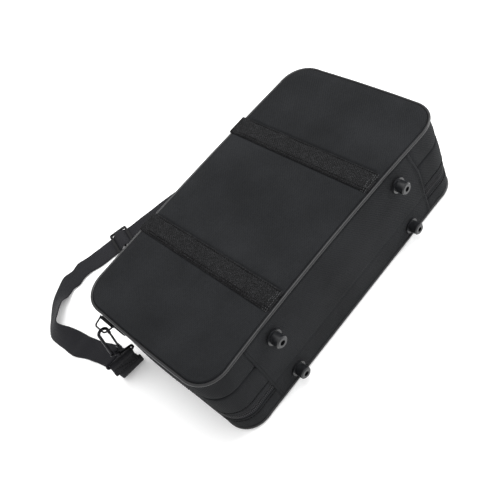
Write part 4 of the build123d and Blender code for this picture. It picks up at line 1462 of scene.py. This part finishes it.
@dataclass
class CarryHandle:
    """A handle whose webbing leaves the bands flat and is folded to a narrow grip."""

    form: CaseForm
    side: Side
    tilt: float
    reach: float = 70.0
    leg_slant: float = 18.0
    leg_length: float = 34.0
    bend_radius: float = 16.0
    grip_width: float = 14.0
    grip_thickness: float = 5.4
    root_half: float = 12.4
    root_thickness: float = 1.4
    leg_steps: int = 14
    bend_steps: int = 12
    seam_inset: float = 1.7
    seam_rise: float = 1.12
    thread: Point = (2.3, 0.75, 0.5)

    def build(self) -> list[bpy.types.Object]:
        """Builds the handle and its stitches.

        Returns:
            The two pieces.
        """
        name = f"{self.side.prefix}_handle"
        height = self.form.height - 0.7 if self.side is Side.DEEP else 0.7
        root = Vector((0, self.form.half_width + 1.9, height))
        tilt = math.radians(self.tilt)
        outward_line = Vector((0, math.cos(tilt), math.sin(tilt)))
        face = Vector((1, 0, 0)).cross(outward_line)
        route = self.route()
        places = [root + Vector((x, 0, 0)) + outward_line * d for x, d, *_ in route]
        widths = []
        for number in range(len(route)):
            heading = places[min(number + 1, len(route) - 1)] - places[max(number - 1, 0)]
            across = heading.cross(face).normalized()
            flat = 1 - ease(0.0, 9.0, route[number][1])
            across = across.lerp(Vector((math.copysign(1, across.x or 1), 0, 0)), flat).normalized()
            widths.append(across * route[number][2])
        piece = ribbon(f"{name}_webbing", places, widths, [row[3] for row in route], WEBBING, 0.9, 0.25)
        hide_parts(name)
        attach(piece, name)
        runs = [
            [p + w.normalized() * side * (w.length - self.seam_inset) + face * (row[3] / 2 * self.seam_rise)
             for p, w, row in zip(places, widths, route) if row[1] > 6]
            for side in (-1, 1)
        ]
        thread = beads(f"{name}_stitches", RunParts.STITCH, runs, STITCH_PITCH, self.thread, THREAD, 0.1)
        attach(thread, name)
        return [piece, thread]

    def route(self) -> list[tuple[float, float, float, float]]:
        """The middle line as distance along the case, distance out, half width and thickness.

        Returns:
            The rows from one band to the other.
        """
        leg_end = self.form.band_place - self.leg_slant
        grip = self.reach - self.grip_width / 2
        corner = leg_end - (grip - self.leg_length) * self.leg_slant / self.leg_length
        lean = math.atan2(self.leg_slant, self.leg_length)
        tangent = self.bend_radius * math.tan((math.pi / 2 - lean) / 2)
        half: list[tuple[float, float, float, float]] = []
        for step in range(self.leg_steps + 1):
            share = step / self.leg_steps
            narrow = ease(0.0, 0.9, share)
            half.append((self.form.band_place - self.leg_slant * share, self.leg_length * share,
                         self.root_half + (self.grip_width / 2 - self.root_half) * narrow,
                         self.root_thickness + (self.grip_thickness - self.root_thickness) * narrow))
        down = Vector((self.leg_slant, -self.leg_length)).normalized()
        knee = Vector((corner, grip))
        start, end = knee + down * tangent, Vector((corner - tangent, grip))
        for step in range(self.bend_steps + 1):
            share = step / self.bend_steps
            point = start.lerp(knee, share).lerp(knee.lerp(end, share), share)
            half.append((point.x, point.y, self.grip_width / 2, self.grip_thickness))
        half.append((corner - tangent - 8, grip, self.grip_width / 2, self.grip_thickness))
        half.append((0.0, grip, self.grip_width / 2, self.grip_thickness))
        return half + [(-x, d, w, t) for x, d, w, t in reversed(half[:-1])]


@dataclass
class ShoulderStrap:
    """The strap's webbing, its sewn end loops, and the finish of its adjuster, hooks and rings."""

    nodes: dict[str, bpy.types.Object]
    half_width: float = 15.2
    thickness: float = 1.6
    box_pitch: float = 2.9
    hook_lean: float = 10.8
    hook_place: Flat = (205.6, 71.0)
    adjuster_heading: float = -16.8
    adjuster_profile: tuple[Flat, ...] = (
        (-13.0, 1.3), (-9.8, 1.3), (-3.2, 6.2), (3.2, 6.2), (9.8, 1.3), (13.0, 1.3),
    )
    route_step: float = 4.0
    floor_gap: float = 0.15
    sway: float = 0.9
    narrowing: float = 0.07
    wrap_drop: float = 6.4
    wrap_radius: float = 2.55
    seam_gap: float = 1.72
    thread: Point = (2.2, 0.75, 0.5)
    tail: tuple[Flat, ...] = (
        (16.6, 0.86), (12.0, 0.86), (8.0, 0.86), (5.0, 1.2), (2.5, 2.0),
    )
    near_route: tuple[tuple[float, ...], ...] = (
        (-206.6, 71.8, 12.0, 0, -10), (-207.2, 75.5, 5.2, 0, -8), (-207.6, 84.0, 1.9, -1, -2),
        (-209.5, 100.0, 1.4, -5, 0), (-213.8, 118.0, 2.4, -10, 3), (-218.4, 134.0, 3.4, -10, 4),
        (-223.4, 150.0, 2.2, -8, 6), (-228.0, 161.5, 5.0, -6, 10), (-229.4, 171.4, 4.6, -2, 14),
        (-231.2, 183.6, 9.0, 0, 32), (-235.0, 200.0, 12.0, -2, 46), (-234.6, 212.1, 11.6, -17, 45),
        (-227.7, 222.7, 10.7, -33, 40), (-218.9, 232.4, 10.0, -42, 37), (-210.0, 241.7, 8.5, -50, 30),
        (-200.4, 250.2, 5.0, -68, 15), (-190.0, 257.2, 2.8, -84, 6), (-179.5, 260.4, 3.0, -97, 0),
        (-168.5, 258.0, 1.8, -103, 0), (-157.5, 259.0, 2.8, -106, 0), (-142.0, 255.4, 1.6, -107, 0),
        (-127.0, 250.8, 1.6, -106, 0),
    )
    far_route: tuple[tuple[float, ...], ...] = (
        (-62.0, 233.1, 1.4, -107, 0), (-16.5, 220.8, 2.2, -107, 0), (33.5, 207.3, 1.4, -107, 0),
        (82.0, 194.2, 2.3, -107, 0), (132.0, 175.6, 1.5, -116, 0), (161.0, 158.0, 2.4, -128, 2),
        (184.0, 136.6, 2.0, -142, 0), (199.5, 114.0, 2.2, -158, 0), (206.5, 95.0, 1.7, -172, 0),
        (207.6, 84.0, 1.9, -178, -2), (207.2, 75.5, 5.2, -180, -8), (206.6, 71.8, 12.0, -180, -10),
    )

    def adjuster_route(self) -> list[tuple[float, ...]]:
        """The webbing's way under the adjuster's end bars and over its middle bar.

        Returns:
            Rows of place, turn and rise.
        """
        low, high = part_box("strap_adjuster")
        middle = (low + high) / 2 / MILLIMETRE
        heading = math.radians(self.adjuster_heading)
        along_x, along_y = math.cos(heading), math.sin(heading)
        turn = self.adjuster_heading - 90
        return [
            (middle.x + reach * along_x, middle.y + reach * along_y, height, turn, 0.0)
            for reach, height in self.adjuster_profile
        ]

    def hook_end(self, side: int) -> tuple[float, ...]:
        """Where the webbing leaves a sewn loop, as a row of the route.

        Args:
            side: -1 for the near end of the case, 1 for the far end.

        Returns:
            The row.
        """
        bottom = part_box("near_strap_loop")[0].z / MILLIMETRE
        turn = 0.0 if side < 0 else -180.0
        return (side * self.hook_place[0], self.hook_place[1], bottom + 3.2, turn, -self.hook_lean)

    def webbing(self) -> bpy.types.Object:
        """The strap's webbing from loop to loop, through the adjuster.

        Returns:
            The webbing.
        """
        rows = [self.hook_end(-1), *self.near_route]
        rows += [*self.adjuster_route(), *self.far_route, self.hook_end(1)]
        places, widths = [], []
        run = 0.0
        for row in smooth_route(rows, self.route_step):
            turn, rise = math.radians(row[3]), math.radians(row[4])
            level = math.cos(rise)
            across = Vector((math.cos(turn) * level, math.sin(turn) * level, math.sin(rise)))
            point = Vector(row[:3])
            low_edge = point.z - abs(across.z) * self.half_width
            point.z += max(0.0, self.thickness / 2 + self.floor_gap - low_edge)
            point += across * self.sway * ripple(run, 0.0, 0.0, 24.0)
            turn_in = 1 - self.narrowing * ease(0.1, 0.6, ripple(run, 9.0, 0.0, 30.0))
            places.append(point)
            widths.append(across * self.half_width * turn_in)
            run += self.route_step
        piece = ribbon("strap_webbing_cloth", places, widths, self.thickness, STRAP_WEBBING, 0.7)
        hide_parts("strap_webbing")
        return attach(piece, "strap")

    def end_loop(self, side: int) -> list[bpy.types.Object]:
        """One sewn end: the webbing folded round the eye's bar and stitched in a box.

        Args:
            side: -1 for the near end of the case, 1 for the far end.

        Returns:
            The webbing and its thread.
        """
        name = "near" if side < 0 else "far"
        lean = math.radians(self.hook_lean)
        up = Vector((-side * math.sin(lean), 0, math.cos(lean)))
        across = Vector((-side * math.cos(lean), 0, -math.sin(lean)))
        loop_low, loop_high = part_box(f"{name}_strap_loop")
        middle = (loop_low + loop_high) / 2 / MILLIMETRE
        top = middle + up * self.wrap_drop
        out = Vector((0, 1, 0))
        line = [top - up * drop + out * gap for drop, gap in self.tail]
        line += [
            top + (out * math.cos(turn) + up * math.sin(turn)) * self.wrap_radius
            for turn in (math.pi * k / 10 for k in range(11))
        ]
        line += [top - up * drop - out * gap for drop, gap in reversed(self.tail)]
        widths = [across * self.half_width] * len(line)
        piece = ribbon(f"{name}_strap_end", line, widths, self.thickness, STRAP_WEBBING, 0.7)
        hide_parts(f"{name}_strap_loop")
        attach(piece, "strap")
        runs = []
        for face in (-1, 1):
            turns = [(-13.0, 6.2), (13.0, 6.2), (13.0, 15.2), (-13.0, 15.2), (-13.0, 6.2), (13.0, 15.2)]
            points = [top - up * d + across * w + out * face * self.seam_gap for w, d in turns]
            runs.append(sewn_run(points, self.box_pitch))
        thread = beads(f"{name}_strap_end_stitches", RunParts.STITCH, runs, self.box_pitch, self.thread,
                       THREAD, 0.08)
        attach(thread, "strap")
        return [piece, thread]

    def build(self) -> list[bpy.types.Object]:
        """Builds the strap and dresses its hardware.

        Returns:
            Its pieces.
        """
        pieces = [self.webbing(), *self.end_loop(-1), *self.end_loop(1)]
        pieces.append(dress(self.nodes["strap_adjuster"], SATIN_PLASTIC))
        for end in ("near", "far"):
            for part in ("hook_frame", "hook_gate", "swivel_eye", "ring"):
                pieces.append(dress(self.nodes[f"{end}_{part}"], BLACK_NICKEL))
        return pieces


@dataclass
class RingTab:
    """The webbing tab that holds a ring, folded round its bar and sewn down the end wall."""

    side: int
    box_pitch: float = 2.7
    bar_inset: float = 2.15
    front_gap: float = 1.35
    fold_radius: float = 1.6
    thickness: float = 0.98
    back: tuple[Flat, ...] = ((1.55, -1.5), (0.8, -3.2), (-0.1, -5.0), (-0.35, -8.0))
    thread: Point = (2.0, 0.7, 0.5)

    def build(self) -> list[bpy.types.Object]:
        """Builds the tab and its stitches.

        Returns:
            The two pieces.
        """
        name = "near" if self.side < 0 else "far"
        low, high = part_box(f"{name}_ring_tab")
        out = self.side
        middle_y = (low.y + high.y) / 2 / MILLIMETRE
        top, bottom = high.z / MILLIMETRE, low.z / MILLIMETRE
        bar_z = top - self.bar_inset
        bar_x = (low.x if self.side < 0 else high.x) / MILLIMETRE - out * self.bar_inset
        half = (high.y - low.y) / 2 / MILLIMETRE
        front, radius = bar_x - out * self.front_gap, self.fold_radius
        line = [Vector((front, middle_y, bottom + k * (bar_z - bottom) / 6)) for k in range(7)]
        line += [
            Vector((bar_x - out * radius * math.cos(turn), middle_y, bar_z + radius * math.sin(turn)))
            for turn in (math.pi * k / 8 for k in range(1, 9))
        ]
        last = (self.back[-1][0], bottom + 1 - bar_z)
        line += [Vector((bar_x + out * x, middle_y, bar_z + z)) for x, z in (*self.back, last)]
        widths = [Vector((0, half, 0))] * len(line)
        piece = ribbon(f"{name}_ring_tab_webbing", line, widths, self.thickness, WEBBING, 0.5)
        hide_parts(f"{name}_ring_tab")
        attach(piece, "lid")
        face = bar_x + out * 0.2
        side, above, below = half - 2, bar_z - 8, bottom + 3
        turns = [(-side, above), (side, above), (side, below), (-side, below), (-side, above), (side, below)]
        run = sewn_run([Vector((face, middle_y + y, z)) for y, z in turns], self.box_pitch)
        thread = beads(f"{name}_ring_tab_stitches", RunParts.STITCH, [run], self.box_pitch, self.thread,
                       THREAD, 0.08)
        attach(thread, "lid")
        return [piece, thread]


@dataclass
class Interior:
    """Insert, linings, foam, the padded roof and the screwed feet."""

    form: CaseForm
    nodes: dict[str, bpy.types.Object]
    pad_rows: int = 48
    pad_columns: int = 96
    pad_corner: float = 11.0
    channel_depth: float = 1.6
    channel_width: float = 2.4
    upright_cuts: range = range(-168, 169, 12)
    level_cuts: range = range(62, 106, 8)

    def pressed_core(self) -> bpy.types.Object:
        """The deep shell's foam, its outer skin pressed in where the cloth draws the edges.

        Returns:
            The foam.
        """
        node = self.nodes["deep_core"]
        mesh = node.data.copy()
        mesh.transform(node.matrix_world)
        piece = linked("deep_core_foam", mesh)
        work = bmesh.new()
        work.from_mesh(mesh)
        bmesh.ops.remove_doubles(work, verts=work.verts, dist=WELD_DISTANCE)
        cuts = [(Vector((x * MILLIMETRE, 0, 0)), Vector((1, 0, 0))) for x in self.upright_cuts]
        cuts += [(Vector((0, 0, z * MILLIMETRE)), Vector((0, 0, 1))) for z in self.level_cuts]
        for place, normal in cuts:
            everything = [*work.verts, *work.edges, *work.faces]
            bmesh.ops.bisect_plane(work, geom=everything, plane_co=place, plane_no=normal)
        for vertex in work.verts:
            point = vertex.co / MILLIMETRE
            outer = 1 - ease(4.0, 9.0, self.form.depth_inside(point.x, point.y))
            vertex.co = point.lerp(self.form.softened(point), outer) * MILLIMETRE
        work.to_mesh(mesh)
        work.free()
        coated(piece, FOAM)
        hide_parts("deep_core")
        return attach(piece, "lid")

    def roof_pad(self) -> bpy.types.Object:
        """The pad in the roof of the deep shell, crowned between sewn channels.

        Returns:
            The pad.
        """
        low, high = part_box("roof_pad")
        low, high = low / MILLIMETRE, high / MILLIMETRE
        half_x, half_y, deep = high.x, high.y, high.z - low.z
        rows, columns = gathered(self.pad_rows), gathered(self.pad_columns)
        corner = self.pad_corner
        vertices, uvs = [], []
        for v in rows:
            y = v * half_y
            beyond = max(abs(y) - (half_y - corner), 0.0)
            reach = half_x - (corner - math.sqrt(max(corner**2 - beyond**2, 0.0)))
            for u in columns:
                x = u * reach
                inside = min(half_x - abs(x), half_y - abs(y))
                crown = ease(0.0, 9.0, inside) ** 0.6
                channel = self.channel_depth * math.exp(-((abs(x) - half_x / 3) / self.channel_width) ** 2)
                puff = 0.6 * math.sin(math.pi * min(inside, 40.0) / 80)
                vertices.append(Vector((x, y, high.z - (deep - 0.6) * crown + channel * crown - puff)))
                uvs.append((x, y))
        faces = backed(vertices, uvs, len(columns), high.z)
        piece = welded(finished("roof_pad_plush", vertices, faces, uvs, LINING))
        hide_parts("roof_pad")
        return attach(piece, "lid")

    def build(self) -> list[bpy.types.Object]:
        """Dresses the inside and the feet.

        Returns:
            Their pieces.
        """
        pieces = [self.roof_pad()]
        for name, finish in (("insert_block", PLUSH), ("deep_lining", LINING), ("shallow_core", FOAM)):
            pieces.append(dress(self.nodes[name], finish))
        pieces.append(self.pressed_core())
        for prefix in ("deep", "shallow"):
            for part in ("foot_screws", "foot_washers"):
                pieces.append(dress(self.nodes[f"{prefix}_{part}"], ZINC_STEEL))
            pieces.append(dress(self.nodes[f"{prefix}_feet"], FOOT_PLASTIC))
        return pieces


@dataclass
class Studio:
    """Pale floor, soft lights and the camera at the photograph's view."""

    focal_pixels: float = 664.24
    image_pixels: float = 500.0
    principal: Flat = (296.27, 253.12)
    place: Point = (-188.493, -444.161, 610.837)
    right: Point = (0.62173, -0.71355, -0.32295)
    down: Point = (-0.74023, -0.40056, -0.54001)
    ahead: Point = (0.25596, 0.57480, -0.77723)
    sensor: float = 36.0
    floor_reach: float = 40.0
    floor_gap: float = 0.2
    floor_glow: float = 0.2
    lights: dict[str, tuple[Point, float, float]] = field(default_factory=lambda: {
        "top_softbox": ((350.0, 0.0, 1700.0), 1000.0, 19.0),
        "far_softbox": ((1250.0, -450.0, 800.0), 700.0, 14.0),
    })

    def camera(self) -> None:
        """Sets the camera from the view fitted to the photograph."""
        data = bpy.data.cameras.new("camera")
        data.sensor_width = self.sensor
        data.lens = self.focal_pixels * self.sensor / self.image_pixels
        data.shift_x = 0.5 - self.principal[0] / self.image_pixels
        data.shift_y = self.principal[1] / self.image_pixels - 0.5
        data.clip_start = 0.01
        camera = linked("camera", data)
        columns = (Vector(self.right), -Vector(self.down), -Vector(self.ahead),
                   Vector(self.place) * MILLIMETRE)
        turned = [[*(column[row] for column in columns)] for row in range(3)]
        camera.matrix_world = Matrix(turned + [[0, 0, 0, 1]])
        bpy.context.scene.camera = camera

    def floor(self) -> None:
        """A wide white floor, lit a little from beneath as a light table is."""
        material = Finish("acrylic_light_table_matt", "", "#f4f4f4", "#ffffff", 0.9, 0.1).material()
        shader = material.node_tree.nodes["Principled BSDF"]
        shader.inputs["Emission Color"].default_value = WHITE
        shader.inputs["Emission Strength"].default_value = self.floor_glow
        reach, height = self.floor_reach, -self.floor_gap * MILLIMETRE
        mesh = bpy.data.meshes.new("floor")
        mesh.from_pydata([(x * reach, y * reach, height) for x, y in ((-1, -1), (1, -1), (1, 1), (-1, 1))],
                         [], [(0, 1, 2, 3)])
        mesh.materials.append(material)
        floor = linked("floor", mesh)

    def light(self) -> None:
        """Soft area lights from above and from the far end, and an even white surround."""
        for name, (place, size, power) in self.lights.items():
            data = bpy.data.lights.new(name, "AREA")
            data.shape = "SQUARE"
            data.size = size * MILLIMETRE
            data.energy = power
            lamp = linked(name, data)
            spot = Vector(place) * MILLIMETRE
            lamp.location = spot
            lamp.rotation_euler = (-spot).to_track_quat("-Z", "Y").to_euler()
        world = bpy.data.worlds.new("surround")
        world.use_nodes = True
        backdrop = world.node_tree.nodes["Background"]
        backdrop.inputs[0].default_value = WHITE
        backdrop.inputs[1].default_value = 1.0
        bpy.context.scene.world = world
        bpy.context.scene.view_settings.view_transform = "Standard"

    def build(self) -> None:
        """Sets the stage."""
        self.camera()
        self.floor()
        self.light()


def main() -> None:
    """Builds the sub-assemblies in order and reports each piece."""
    logging.basicConfig(level=logging.INFO, format="%(name)s %(message)s")
    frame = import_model()
    nodes = frame["nodes"]
    form = CaseForm.from_frame()
    Studio().build()
    assemblies: list[Assembly] = [
        ShellCloth(form, Side.DEEP),
        ShellCloth(form, Side.SHALLOW),
        SpinePanel(form),
        ZipClosure(form, nodes),
        CarryHandle(form, Side.DEEP, tilt=-50.0),
        CarryHandle(form, Side.SHALLOW, tilt=4.0),
        ShoulderStrap(nodes),
        RingTab(-1),
        RingTab(1),
        Interior(form, nodes),
    ]
    for assembly in assemblies:
        for piece in assembly.build():
            LOG.info("%s, %s: %d faces", type(assembly).__name__, piece.name, len(piece.data.polygons))


if __name__ == "__main__":
    main()
